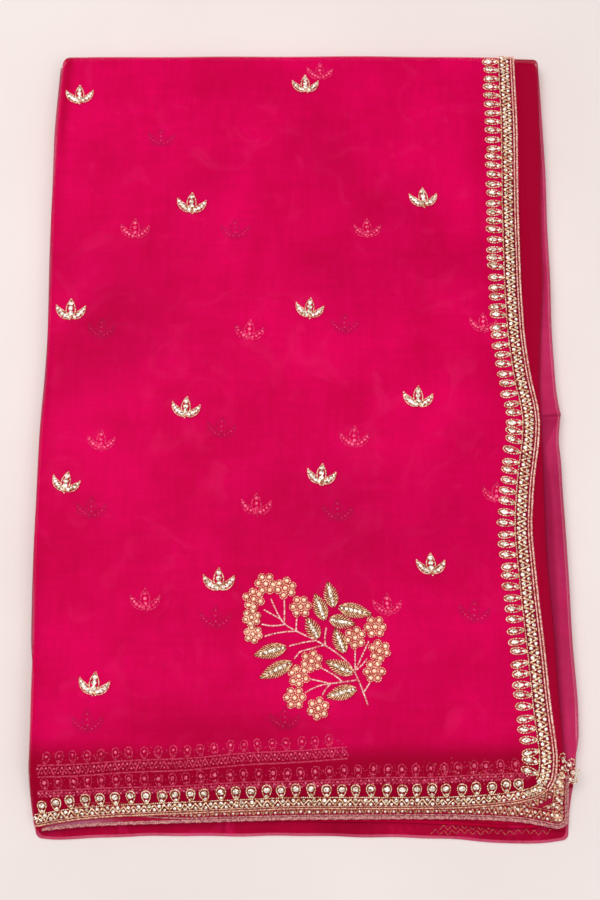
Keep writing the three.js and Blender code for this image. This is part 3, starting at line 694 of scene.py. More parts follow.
@dataclass(frozen=True)
class StoneFinish:
    """Foil-backed cut glass: mirror-bright facets, some in painted highlight and some in painted shade."""

    name: str
    light: str
    deep: str
    metallic: float = 0.75
    roughness: float = 0.12
    painted_glow: float = 0.0  # painted glow: light that the stones give off in their own tone, though they are no lamp, as a share of that tone
    facet: float = 1.1  # mm across a facet

    def material(self) -> bpy.types.Material:
        """Builds the finish: foil under glass, painted from highlight to shade in patches about a facet
        across, so its tone changes within a stone and from stone to stone.

        Returns:
            The material.
        """
        material, add, at = principled(
            self.name, Metallic=self.metallic, Roughness=self.roughness, Coat_Weight=0.6, Coat_Roughness=0.05,
            Emission_Strength=self.painted_glow)
        facets = add("TexVoronoi", Vector=at, Scale=1 / (self.facet * MM))
        hue = add("SeparateColor", in_0=facets.outputs["Color"])
        share = add("MapRange", Value=hue.outputs[0], From_Min=0.1, From_Max=0.75)
        blend = add("Mix", RGBA, Factor=share.outputs[0], in_6=linear(self.deep), in_7=linear(self.light))
        # painted glow: the emission takes the same tone as the colour
        feed(material, blend.outputs[2], "Base Color", "Emission Color")
        return material


FINISHES = {
    "top": NetFinish("pink_net_top", "#f60268", "#e20254", "#b40230", 0.50, sheen=0.02),
    "second": NetFinish("pink_net_second", "#f60262", "#e20250", "#b00230", 0.80, sheen=0.0),
    "fold": NetFinish("pink_net_fold", "#e43c78", "#d02a62", "#a01848", 0.68),
    "layers": NetFinish("pink_net_layers", "#cc033e", "#b4022e", "#840020", 1.0, roughness=0.6,
                        sheen=0.0, layered=True),
    # the lowest net is the same net drawn darker: painted shade of the hollow under the pile
    "base": NetFinish("pink_net_lowest", "#b60438", "#9e022c", "#74001a", 1.0, sheen=0.0),
    "rim": NetFinish("pale_net_edge", "#e46888", "#cc4468", "#b83054", 0.85),
    "lining": NetFinish("lace_back", "#c88098", "#a04c68", "#a41438", 1.0, roughness=0.7),
    "ground": NetFinish("lace_ground", "#a4103c", "#840828", "#700420", 0.75, sheen=0.0),
    "gold": MetalFinish("gold_beads", "#fff2d0", "#b86c3c", metallic=0.3, painted_glow=0.15),
    "rope": MetalFinish("beige_gold_rope", "#f4c4a4", "#a8685c", 0.45, 0.2, painted_glow=0.15),
    "rose": MetalFinish("rose_gold_thread", "#ffdccc", "#d0786c", 0.4, 0.25, painted_glow=0.15),
    "stem": MetalFinish("pink_bugle_beads", "#ffe0d8", "#d86070", 0.3, 0.2, painted_glow=0.15),
    "ring": MetalFinish("rose_seed_beads", "#ffdcc0", "#b87050", 0.3, 0.3, painted_glow=0.18),
    "barb": MetalFinish("gold_bugles", "#ffdcb4", "#b47040", 0.25, 0.35, painted_glow=0.1),
    "barb_shade": MetalFinish("gold_bugles_in_shade", "#a85c34", "#70301c", 0.4, 0.2),
    "pearl": MetalFinish("champagne_pearls", "#fff0d8", "#f4b88c", 0.16, 0.45, painted_glow=0.15),
    "stone": StoneFinish("foiled_stones", "#fffaf0", "#8c6838", 0.3, painted_glow=0.28),
    "pink_cord": MetalFinish("pink_edge_cord", "#e4a49c", "#ac5868", 0.6, 0.0),
    # gold beads drawn in painted shade, for beadwork in the shade of the top stretch
    "blush": MetalFinish("blush_beads", "#e8b08c", "#984838", 0.35, 0.3, painted_glow=0.08),
    "low_stone": StoneFinish("foiled_stones_in_shade", "#fff0e0", "#9c6048", 0.3, painted_glow=0.12),
    "far_gold": MetalFinish("gold_beads_under_net", "#ff6c98", "#600020", 0.4, 0.0, painted_glow=0.3),
    "far_stone": StoneFinish("stones_under_net", "#ffa0c0", "#a80040", 0.0, painted_glow=0.6),
    "far_cord": MetalFinish("cords_under_net", "#ff8cb0", "#e83c6c", 0.5, 0.0, painted_glow=0.15),
    # the third layer's motifs, drawn dark crimson as painted shade seen through two nets
    "shadow_stone": StoneFinish("stone_shadows_under_two_nets", "#d83070", "#a00c40", 0.1),
    "shadow_bead": MetalFinish("bead_shadows_under_two_nets", "#a8043c", "#8c0430", 0.5, 0.0),
    "stitch": MetalFinish("orange_gold_stitches", "#ec7c68", "#b83c48", 0.5, 0.0),
}
Finishes = dict[str, bpy.types.Material]  # the materials of FINISHES by their keys


@dataclass
class SubAssembly:
    """A part of the saree that is built as a whole, from the shared finishes."""

    finishes: Finishes

    def chosen(self, *names: str) -> list[bpy.types.Material]:
        """Gives the materials of the named finishes, in slot order."""
        return [self.finishes[name] for name in names]


# ------------------------------------------------------------------ stretches of net
@dataclass
class Roll:
    """How one side of a stretch ends: flat at radius 0, or turned down to a level."""

    radius: float = 0.0
    end: float = 0.0
    arc_steps: int = 8
    wall_steps: int = 3

    def lines(self) -> Array:
        """Gives the grid lines of the side, from its edge inwards.

        Returns:
            A row for each line: how far it goes out, its share of the roll, and of the drop to the level.
        """
        if not self.radius:
            return np.array([[0.0, 0.0, 0.0]])
        wall = np.linspace(1, 0, self.wall_steps, endpoint=False)
        turn = np.linspace(math.pi / 2, 0, self.arc_steps)
        arc = stacked(self.radius * np.sin(turn), np.sin(turn), 0.0)
        return np.vstack([stacked(self.radius, 1.0, wall), arc])


@dataclass
class Stretch:
    """One stretch of net that lies on the pile."""

    name: str
    node: str
    slot: str
    depth: float  # below the pile's face
    left: str  # the outline that its left side follows
    left_inset: float
    left_roll: Roll
    right: str
    right_roll: Roll
    hem: Callable[[Array], Array]
    back_inset: float
    back_roll: Roll
    shade: Face
    columns: int = 120
    slope_rows: int = 30  # rows on the slope at the front, and on the rest
    flat_rows: int = 150
    slope_share: float = 0.09  # the slope's share of the length
    creased: float = 1.0

    def points(self) -> Array:
        """Works out the grid of points, rows from hem to top fold.

        Between its sides a point is an even share of the way across, at the width that the outline has
        there. At a rolled side it goes out by the roll's sine and down by its radius less the cosine part,
        and corners are rounded by the square to disc map, each share times the root of one less half the
        other's square.

        Returns:
            Points as rows, columns and XYZ.
        """
        left = self.left_roll.lines()
        right, back = self.right_roll.lines()[::-1], self.back_roll.lines()[::-1]
        middle = np.arange(1, self.columns) / self.columns
        across = np.vstack([left, np.zeros((len(middle), 3)), right])
        at = np.concatenate([np.zeros(len(left)), middle, np.ones(len(right))])
        turn = np.concatenate([-np.ones(len(left)), np.zeros(len(middle)), np.ones(len(right))])
        end_x = np.where(turn < 0, self.left_roll.end, self.right_roll.end)
        slope = self.slope_share * np.arange(self.slope_rows) / self.slope_rows
        level = self.slope_share + (1 - self.slope_share) * np.arange(self.flat_rows) / self.flat_rows
        row_at = np.concatenate([slope, level, np.ones(len(back))])[:, None]
        along = np.vstack([np.zeros((self.slope_rows + self.flat_rows, 3)), back])
        out_y, share_y, settle_y = (along[:, k:k + 1] for k in range(3))
        out_x, share_x, settle_x = (across[None, :, k] for k in range(3))

        far = TOP_FOLD_Y - self.back_inset - self.back_roll.radius
        y = np.broadcast_to(HEM_Y + (far - HEM_Y) * row_at, (len(row_at), len(at)))
        for _ in range(3):  # the width is read where the point lies, and its place follows from the width
            sway = 0.5 * np.sin(y / 19.0) * np.sin(y / 47.0 + 1.0)
            start = side(self.left, y) + self.left_inset + self.left_roll.radius + sway
            stop = side(self.right, y) - self.right_roll.radius + sway * (self.right_roll.radius > 0)
            x = start + (stop - start) * at + turn * out_x * np.sqrt(1 - share_y**2 / 2)
            hem = self.hem(x)
            y = hem + (far - hem) * row_at + out_y * np.sqrt(1 - share_x**2 / 2)
        y = y + 0.5 * share_y * np.sin(x / 23.0) * np.sin(x / 61.0 + 0.5)
        round_part = share_x**2 + share_y**2 - share_x**2 * share_y**2
        side_radius = np.where(turn < 0, self.left_roll.radius, self.right_roll.radius) * (share_x > 0)
        radius = np.maximum(side_radius, self.back_roll.radius * (share_y > 0))
        height = pile_top(x, y, self.creased) - self.depth
        height = height - radius * (1 - np.sqrt(np.clip(1 - round_part, 0, 1)))
        low_x = np.minimum(height, end_x[None])
        low_y = np.minimum(height, self.back_roll.end)
        z = np.minimum(height + (low_x - height) * settle_x, height + (low_y - height) * settle_y)
        return stacked(x, y, z)

    def build(self, material: bpy.types.Material) -> None:
        """Makes the stretch as a thin sheet and puts it in its node's place.

        Args:
            material: What it is made of.
        """
        grid = self.points()
        obj = new_object(self.name, grid.reshape(-1, 3), [grid_faces(*grid.shape[:2])], [material],
                         shade=self.shade(grid[..., 0], grid[..., 1]))
        place_sheet(obj, self.node)


def top_shade(x: Array, y: Array) -> Array:
    """Paints shade on the top net along its left fold, most near the big fold, a little beside its end lace,
    and over the front slope with a pool of it left of the middle.

    Args:
        x: Places along X.
        y: Places along Y.

    Returns:
        How far each place is in painted shade.
    """
    inside = x - side("left", y) - TOP_INSET
    stripe = np.exp(-(((inside - 6.5) / 3.2) ** 2)) * (0.15 + 0.75 * ease(y, 190, 245))
    beside = 0.18 * np.exp(-(((side("edge", y) - 30 - x) / 7.0) ** 2))
    pool = 0.8 * np.exp(-(((x + 40) / 80) ** 2) - ((y + 212) / 15) ** 2)
    return stripe + beside + np.maximum(0.95 * ease(-y, 208, 232), pool)


def second_shade(x: Array, y: Array) -> Array:
    """Paints shade on the second net where no net lies on it, in front of the top hem, and under the lower
    laces at the front.

    Args:
        x: Places along X.
        y: Places along Y.

    Returns:
        How far each place is in painted shade.
    """
    bare = ease(x, side("edge", y) - 1.5, side("edge", y) + 1.0)
    front_part = ease(top_hem(np.minimum(x, HEM_STOP_X)) - y, -1.0, 1.0)
    lace = 0.9 * ease(-y, 216, 230)
    return np.maximum.reduce([bare, front_part, lace])


@dataclass
class FoldStrip:
    """A lower fold of net that stands out at one side: level to the fold, a quarter round, then down."""

    name: str
    node: str | None
    outer: Callable[[Array], Array]  # the fold's line
    inner: float  # X where it comes out from under the pile
    face: Face
    foot: Face  # the height it goes down to
    reach: tuple[float, float]  # its ends along Y
    roll: float
    facing: Facing
    shade: Face
    rows: int = 400
    level_lines: int = 12
    wall_steps: int = 4

    def build(self, material: bpy.types.Material) -> None:
        """Makes the strip as a thin sheet and puts it in its node's place.

        Args:
            material: What it is made of.
        """
        y = np.linspace(*self.reach, self.rows)[:, None]
        outer = self.outer(y)
        face = self.face(outer, y)
        level = np.linspace(0, 1, self.level_lines)
        turn = np.linspace(0, math.pi / 2, 7)[1:]
        drop = np.linspace(0, 1, self.wall_steps + 1)[1:]
        crown, rim = outer - self.facing.value * self.roll, face - self.roll
        x = np.hstack([self.inner + (crown - self.inner) * level,
                       crown + self.facing.value * self.roll * np.sin(turn),
                       np.repeat(outer, self.wall_steps, 1)])
        z = np.hstack([np.repeat(face, self.level_lines, 1), rim + self.roll * np.cos(turn),
                       rim + (self.foot(outer, y) - rim) * drop])
        grid = stacked(x, y, z)
        faces = grid_faces(*grid.shape[:2])
        if self.facing is Facing.LEFT:
            faces = faces[:, ::-1]
        obj = new_object(self.name, grid.reshape(-1, 3), [faces], [material],
                         shade=self.shade(grid[..., 0], grid[..., 1]))
        place_sheet(obj, self.node)


class FoldedNet(SubAssembly):
    """The pile: the stretches that show and the layers that they hide."""

    def build(self) -> None:
        """Builds the stretches from the top down."""
        Stretch("top_net", "top_stretch", "net_top", 0.0, "left", TOP_INSET, Roll(TOP_ROLL, SHELF + 0.6),
                "edge", Roll(), top_hem, 0.0, Roll(TOP_ROLL, BASE_TOP + 0.6),
                top_shade).build(self.finishes["top"])
        Stretch("second_net", "second_stretch", "net_second", UNDER, "left", TOP_INSET + 0.5,
                Roll(LIP_ROLL, SHELF + 0.8), "lip", Roll(LIP_ROLL, SHELF + 0.6), second_hem, 0.4,
                Roll(LIP_ROLL, BASE_TOP + 0.6), second_shade,
                creased=LOWER_CREASED).build(self.finishes["second"])
        self.folds()
        self.hidden()
        self.base()

    def folds(self) -> None:
        """Builds the lighter folds: the wide one on the right, with its kink, and a sliver on the left."""
        def right_line(y: Array) -> Array:
            """Gives the right-hand fold, which tucks in at the front."""
            return right_edge(y) - 3.0 * ease(-y, 212, 236)

        def right_face(x: Array, y: Array) -> Array:
            """Gives the ledge's height on the right."""
            return np.minimum(SHELF, pile_top(x, y, 0) - UNDER - 1.2)

        def right_foot(x: Array, y: Array) -> Array:
            """Gives the right-hand fold's foot: beside the lowest stretch, and on it where it tucks in."""
            return 0.5 + 1.5 * ease(-y, 190, 208)

        def kink_shade(x: Array, y: Array) -> Array:
            """Paints shade on the crease across the kink, the triangle below it and the side near the pile.

            Args:
                x: Places along X.
                y: Places along Y.

            Returns:
                How far each place is in painted shade.
            """
            crease = np.exp(-(((y - 7.0 + 0.1 * (183 - x)) / 1.1) ** 2)) * ease(x, 168, 172)
            slant = 8.0 - 2.1 * (184.0 - x)
            below = 0.55 * ease(y, slant - 2.0, slant + 1.0) * ease(-y, -6.0, -4.0) * ease(y, -30, -20)
            far_side = 179.0 - 5.0 * ease(y, -60, 0)
            near = (0.8 - 0.4 * ease(y, -25, 15)) * ease(far_side - x, 0.0, 6.0)
            return np.maximum.reduce([crease, below, near + np.zeros_like(y)])

        def left_line(y: Array) -> Array:
            """Gives the left-hand fold under the top stretch's: it wavers by a product of sines."""
            waver = 0.5 * np.sin(y / 29.0) * np.sin(y / 53.0)
            return side("left", y) + 0.3 + waver + 5.0 * ease(-y, 150, 200)

        FoldStrip("fold_net", "third_stretch", right_line, LEDGE_X + 0.6, right_face, right_foot,
                  (LOOP_Y, TOP_FOLD_Y - 5), 2.6, Facing.RIGHT, kink_shade).build(self.finishes["fold"])
        # the left fold is in painted shade, 0.3 on average, wavering along Y
        FoldStrip("left_fold_net", None, left_line, -178.0, level_face(SHELF - 0.4),
                  level_face(BASE_TOP + 0.6), (HEM_Y + 74, TOP_FOLD_Y - 6), 1.8, Facing.LEFT,
                  lambda x, y: 0.3 + 0.3 * np.sin(y / 37.0)).build(self.finishes["fold"])

    def ring(self, left: float, right: float, hem: float, back: float, corners: tuple[float, float],
             right_side: RightSide) -> Array:
        """Gives one closed outline of the pile, anticlockwise, its corners rounded.

        Args:
            left: Inset from the left folds.
            right: Inset from the right folds.
            hem: Inset from the lowest hem.
            back: Inset from the big fold.
            corners: Corner radii at the hem and at the big fold.
            right_side: Which right side it follows.

        Returns:
            Rows of X and Y.
        """
        def right_x(y: Array | float) -> Array:
            """Reads the chosen right side."""
            y = np.asarray(y, float)
            if right_side is RightSide.UPPER:
                return np.full(y.shape, LEDGE_X) - right
            if right_side is RightSide.FOOT:
                return right_edge(y) - right
            loop = ease(y, LOOP_Y, LOOP_Y + 25)
            close = 3.4 * ease(y, 180, 250)
            return (side("lip", y) - LIP_ROLL) * (1 - loop) + side("right", y) * loop - right + close

        def left_x(y: Array | float) -> Array:
            """Reads the left side."""
            return side("left", np.asarray(y, float)) + left

        low, high = corners
        far = TOP_FOLD_Y - back
        near_right, near_left = float(right_x(HEM_Y)) - low, float(left_x(HEM_Y)) + low
        low_right = float(front("base", near_right)) + hem + low
        low_left = float(front("base", near_left)) + hem + low
        bends = (
            (near_right, low_right, -math.pi / 2, low), (float(right_x(far)) - high, far - high, 0.0, high),
            (float(left_x(far)) + high, far - high, math.pi / 2, high), (near_left, low_left, math.pi, low),
        )
        arcs = [np.array(centre) + radius * towards(start + np.linspace(0, math.pi / 2, 9))
                for *centre, start, radius in bends]
        up, down = np.linspace(low_right, far - high, 120)[1:-1], np.linspace(far - high, low_left, 120)[1:-1]
        over = np.linspace(bends[1][0], bends[2][0], 70)[1:-1]
        under = np.linspace(near_left, near_right, 90)[1:-1]
        return np.vstack([
            arcs[0], stacked(right_x(up), up), arcs[1], stacked(over, far),
            arcs[2], stacked(left_x(down), down), arcs[3], stacked(under, front("base", under) + hem),
        ])

    def hidden(self) -> None:
        """Builds the hidden layers as one heap: ringed outlines for the folds' edges, then its face."""
        levels = np.array([  # height, insets left, right, hem and back
            (1.7, 3.2, 6.0, 9.0, 2.2), (2.2, 2.4, 5.2, 8.2, 1.4), (2.9, 2.3, 5.2, 8.2, 1.4),
            (3.3, 3.5, 6.2, 9.6, 2.2), (3.8, 2.6, 5.0, 12.0, 1.4), (4.6, 2.5, 5.0, 16.0, 1.4),
            (5.0, 3.7, 6.2, 18.0, 2.2), (5.5, 2.8, 5.0, 21.5, 1.4), (6.5, 2.7, 5.0, 26.0, 1.4),
            (6.9, 3.9, 6.2, 27.0, 2.2), (7.4, 2.9, 5.4, 28.0, 1.4), (8.0, 3.2, 5.8, 29.0, 1.6),
        ])
        corners = (14.0, 3.0)
        rings = []
        for number, (height, *insets) in enumerate(levels):
            plan = self.ring(*insets, corners, RightSide.LOWER)
            wave = 0.35 * np.sin(plan[:, 0] / 13.0 + number) * np.sin(plan[:, 1] / 17.0 + 2 * number)
            rings.append(stacked(*(plan * (1 - wave[:, None] / 250.0)).T, height))
        upper = self.ring(4.4, 0.0, 30.5, 1.6, corners, RightSide.UPPER)
        rings.append(stacked(*upper.T, 8.1))
        middle = np.array([0.0, (HEM_Y + TOP_FOLD_Y) / 2])
        sizes = np.concatenate([[1.0, 0.997, 0.99, 0.98], np.linspace(0.96, 0.04, 24)])
        sinks = np.concatenate([[3.6, 2.0, 0.8, 0.2], np.zeros(24)])
        for size, sink in zip(sizes, sinks):
            x, y = (middle + (upper - middle) * size).T
            rings.append(stacked(x, y, pile_top(x, y, 0.4) - 2 * UNDER - 0.3 - sink))
        points, faces = lofted(rings)
        obj = new_object("hidden_layers", points, faces, self.chosen("layers"), shade=np.zeros(len(points)))
        place(obj, "folded_stack")

    def base(self) -> None:
        """Builds the lowest stretch: flat, with a rounded rim that is pale and a little uneven at the hem."""
        rings = []
        for height, inset in ((0.0, 1.2), (0.45, 0.9), (1.0, 0.9), (1.32, 1.5), (BASE_TOP, 2.7)):
            x, y = self.ring(inset, inset - 0.5, inset - 2.1, inset + 1.5, (4.5, 3.0), RightSide.FOOT).T
            y = y + np.where(y < RIM_Y, 0.4 * np.sin(x / 9.0) * np.sin(x / 23.0), 0)
            rings.append(stacked(x, y, height))
        points, faces = lofted(rings)
        slots = np.concatenate([np.tile(rings[0][:, 1] < RIM_Y, len(rings) - 1), [0, 0]])
        obj = new_object("lowest_net", points, faces, self.chosen("base", "rim"), slots,
                         smooth=False, shade=np.zeros(len(points)))
        place_sheet(obj, "base_stretch")


# ------------------------------------------------------------------ beaded work
def read_path(points: Array, at: Array, places: Array) -> Array:
    """Reads a path's X and Y at places, given where along it its own points stand."""
    return stacked(*(np.interp(places, at, column) for column in points.T))


def along_path(points: Array, spacing: float, start: float = 0.0) -> tuple[Array, Array]:
    """Walks a path in even steps.

    Args:
        points: The path's X and Y, close together.
        spacing: The step in mm.
        start: Where the first step stands.

    Returns:
        Places, and the heading at each in radians.
    """
    lengths = np.concatenate([[0.0], np.cumsum(np.linalg.norm(np.diff(points, axis=0), axis=1))])
    steps = np.arange(start, lengths[-1], spacing)
    way = read_path(points, lengths, steps + 0.5) - read_path(points, lengths, steps - 0.5)
    return read_path(points, lengths, steps), np.arctan2(way[:, 1], way[:, 0])


def rounded(path: Array, mean_of: int = MEAN_OF, **padding: str) -> Array:
    """Rounds a line: each place becomes the mean of itself and its neighbours.

    Args:
        path: The line's X and Y, in even steps.
        mean_of: How many places go into a mean.
        **padding: How numpy carries the line on past its ends.

    Returns:
        The rounded line, with as many places.
    """
    half = mean_of // 2
    padded = np.pad(path, ((half, half), (0, 0)), **padding)
    return stacked(*(np.convolve(column, np.ones(mean_of) / mean_of, "valid") for column in padded.T))


def corner_sweep(start: float, radius: float, turn: float, count: int) -> Array:
    """Gives X along a rounded corner: its start plus the radius times the sine of even turns."""
    return start + radius * np.sin(np.linspace(0, turn, count)[1:])


def top_line() -> Array:
    """Gives the top stretch's outer line: along its hem, round its free corner, up its end, over the fold.

    Returns:
        Rows of X and Y, a millimetre apart.
    """
    x = np.concatenate([np.linspace(-176, CORNER_X, 330), corner_sweep(CORNER_X, CORNER_R, 1.45, 30)])
    y = np.linspace(-228, TOP_FOLD_Y - 0.6, 520)
    even, _ = along_path(np.vstack([stacked(x, top_hem(x)), stacked(side("edge", y), y)]), 1.0)
    return rounded(even, mode="edge")


def no_drops(places: Array) -> NDArray[np.bool_]:
    """Tells that a lace has no drop at any place."""
    return np.zeros(len(places), bool)


@dataclass
class Lace:
    """A beaded lace: cords along its outer line, a zigzag band with stones, a line, and drops."""

    path: Array  # the outer line, with the cloth on its left
    pitch: float  # from drop to drop
    zigzag: float  # length of one zigzag
    cords: tuple[tuple[float, float], ...]  # each cord's distance from the outer line, and its thickness
    band: tuple[float, float]  # near and far side of the zigzag band
    line: float  # distance of the inner line
    drop: tuple[float, float, float]  # where a drop starts, how long and how wide it is
    stones: tuple[float, float]  # radius of the band's inner and outer stones
    taper: float  # how far a drop's ring draws in towards its foot
    jewel: Shape  # a drop's large stone
    seed: int
    has_drop: Callable[[Array], Array]  # tells for X and Y whether there is a drop
    sparkle: float = 1.0  # scale of the drops' stones, small where a net dims them
    ground: float = 0.1  # where the ground under the beads starts
    ring_beads: int = 18  # in a drop's ring

    def offset(self, places: Array, heading: Array, across: Array | float) -> Array:
        """Moves places to the left of their heading."""
        return places + leftward(heading) * np.broadcast_to(across, heading.shape)[:, None]

    def sew(self, work: Beadwork) -> None:
        """Sews the whole lace: its ground, its cords, its inner line, its band and its drops.

        Args:
            work: Where it goes.
        """
        rng = np.random.default_rng(self.seed)
        places, heading = along_path(self.path, 1.5)
        share = np.linspace(self.ground, self.line, 9)
        ribbon = np.stack([self.offset(places, heading, across) for across in share], 0)
        flat = ribbon.reshape(-1, 2)
        height = work.face(*flat.T) + work.lift + 0.08
        work.surface(np.column_stack([flat, height]), grid_faces(*ribbon.shape[:2]), Slot.EXTRA)
        for k, (across, thick) in enumerate(self.cords):
            places, heading = along_path(self.path, 2.1 * thick, 0.5 * k)
            at = self.offset(places, heading, across + rng.normal(0, 0.05, len(places)))
            work.sew(BUGLE, at, (1.7 * thick, 0.8 * thick, thick), heading + 0.55, 0.1 + thick, Slot.THREAD)
        places, heading = along_path(self.path, 1.25, 0.5)
        at = self.offset(places, heading, self.line + rng.normal(0, 0.07, len(places)))
        work.sew(BEAD, at, (0.62, 0.46, 0.46), heading, 0.5, Slot.METAL)
        self.band_work(work, rng)
        self.drops(work, rng)

    def band_work(self, work: Beadwork, rng: np.random.Generator) -> None:
        """Sews the band: double bugle strokes that lean in turn, with a stone in each triangle.

        Args:
            work: Where it goes.
            rng: The random source.
        """
        places, heading = along_path(self.path, self.zigzag / 2, self.zigzag / 4)
        low, high = self.band
        lean = np.where(np.arange(len(places)) % 2 == 0, 1.0, -1.0) * math.atan2(high - low, self.zigzag / 2)
        lean = lean + rng.normal(0, 0.05, len(places))
        half = 0.5 * math.hypot(high - low, self.zigzag / 2)
        for step in (-0.26, 0.26):
            at = self.offset(places, heading, (low + high) / 2 + rng.normal(0, 0.1, len(places)))
            work.sew(BUGLE, at + step * towards(heading), (half, 0.34, 0.4), heading + lean, 0.7, Slot.METAL)
        corners, turn = along_path(self.path, self.zigzag / 2, 0.0)
        inner = np.arange(len(corners)) % 2 == 0
        across = low + (high - low) * np.where(inner, 0.76, 0.24)
        at = self.offset(corners, turn, across + rng.normal(0, 0.12, len(corners)))
        size = np.where(inner, *self.stones) * rng.uniform(0.88, 1.1, len(corners))
        spin = turn + rng.uniform(0, 3, len(corners))
        work.sew(STONE, at, flattened(size, 0.75), spin, 0.75, Slot.STONE)

    def drops(self, work: Beadwork, rng: np.random.Generator) -> None:
        """Sews the drops: two or three stones in a ring of beads.

        Their feet are evenly spaced on the line where the drops start, so that they keep clear of one
        another in a bend. The ring's beads stand at equal turns of an ellipse that is drawn in towards its
        foot.

        Args:
            work: Where it goes.
            rng: The random source.
        """
        start, length, width = self.drop
        foot_line = self.offset(*along_path(self.path, 1.0), start)
        feet, heading = along_path(foot_line, self.pitch, self.pitch / 2)
        kept = self.has_drop(feet)
        feet, heading = feet[kept], heading[kept]
        count = len(feet)
        lean = heading + math.pi / 2 + rng.normal(0, 0.09, count)
        reach = length * rng.uniform(0.93, 1.05, count)
        wide = width * rng.uniform(0.92, 1.06, count)
        ahead, aside = towards(lean), leftward(lean)
        centre = feet + ahead * (reach * 0.5)[:, None]
        wider = centre + ahead * (reach * 0.13)[:, None]
        big = stacked(reach * (0.29 if self.jewel is MARQUISE else 0.25), 0.36 * wide, 1.05) * self.sparkle
        work.sew(self.jewel, wider, big, lean, 0.95, Slot.STONE)
        neck = centre - ahead * (reach * 0.29)[:, None]
        work.sew(STONE, neck, big * (0.45, 0.5, 0.8), lean, 0.85, Slot.STONE)
        for k in range(self.ring_beads):
            turn = 2 * math.pi * (k + 0.5) / self.ring_beads
            draw = math.sin(turn) * 0.46 * (1.0 + self.taper * math.cos(turn))
            at = centre + ahead * (reach * math.cos(turn) * 0.48)[:, None] + aside * (wide * draw)[:, None]
            slant = math.atan2(0.46 * math.cos(turn), -0.9 * math.sin(turn))
            work.sew(BEAD, at, (0.95, 0.42, 0.5), lean + slant, 0.5, Slot.METAL)


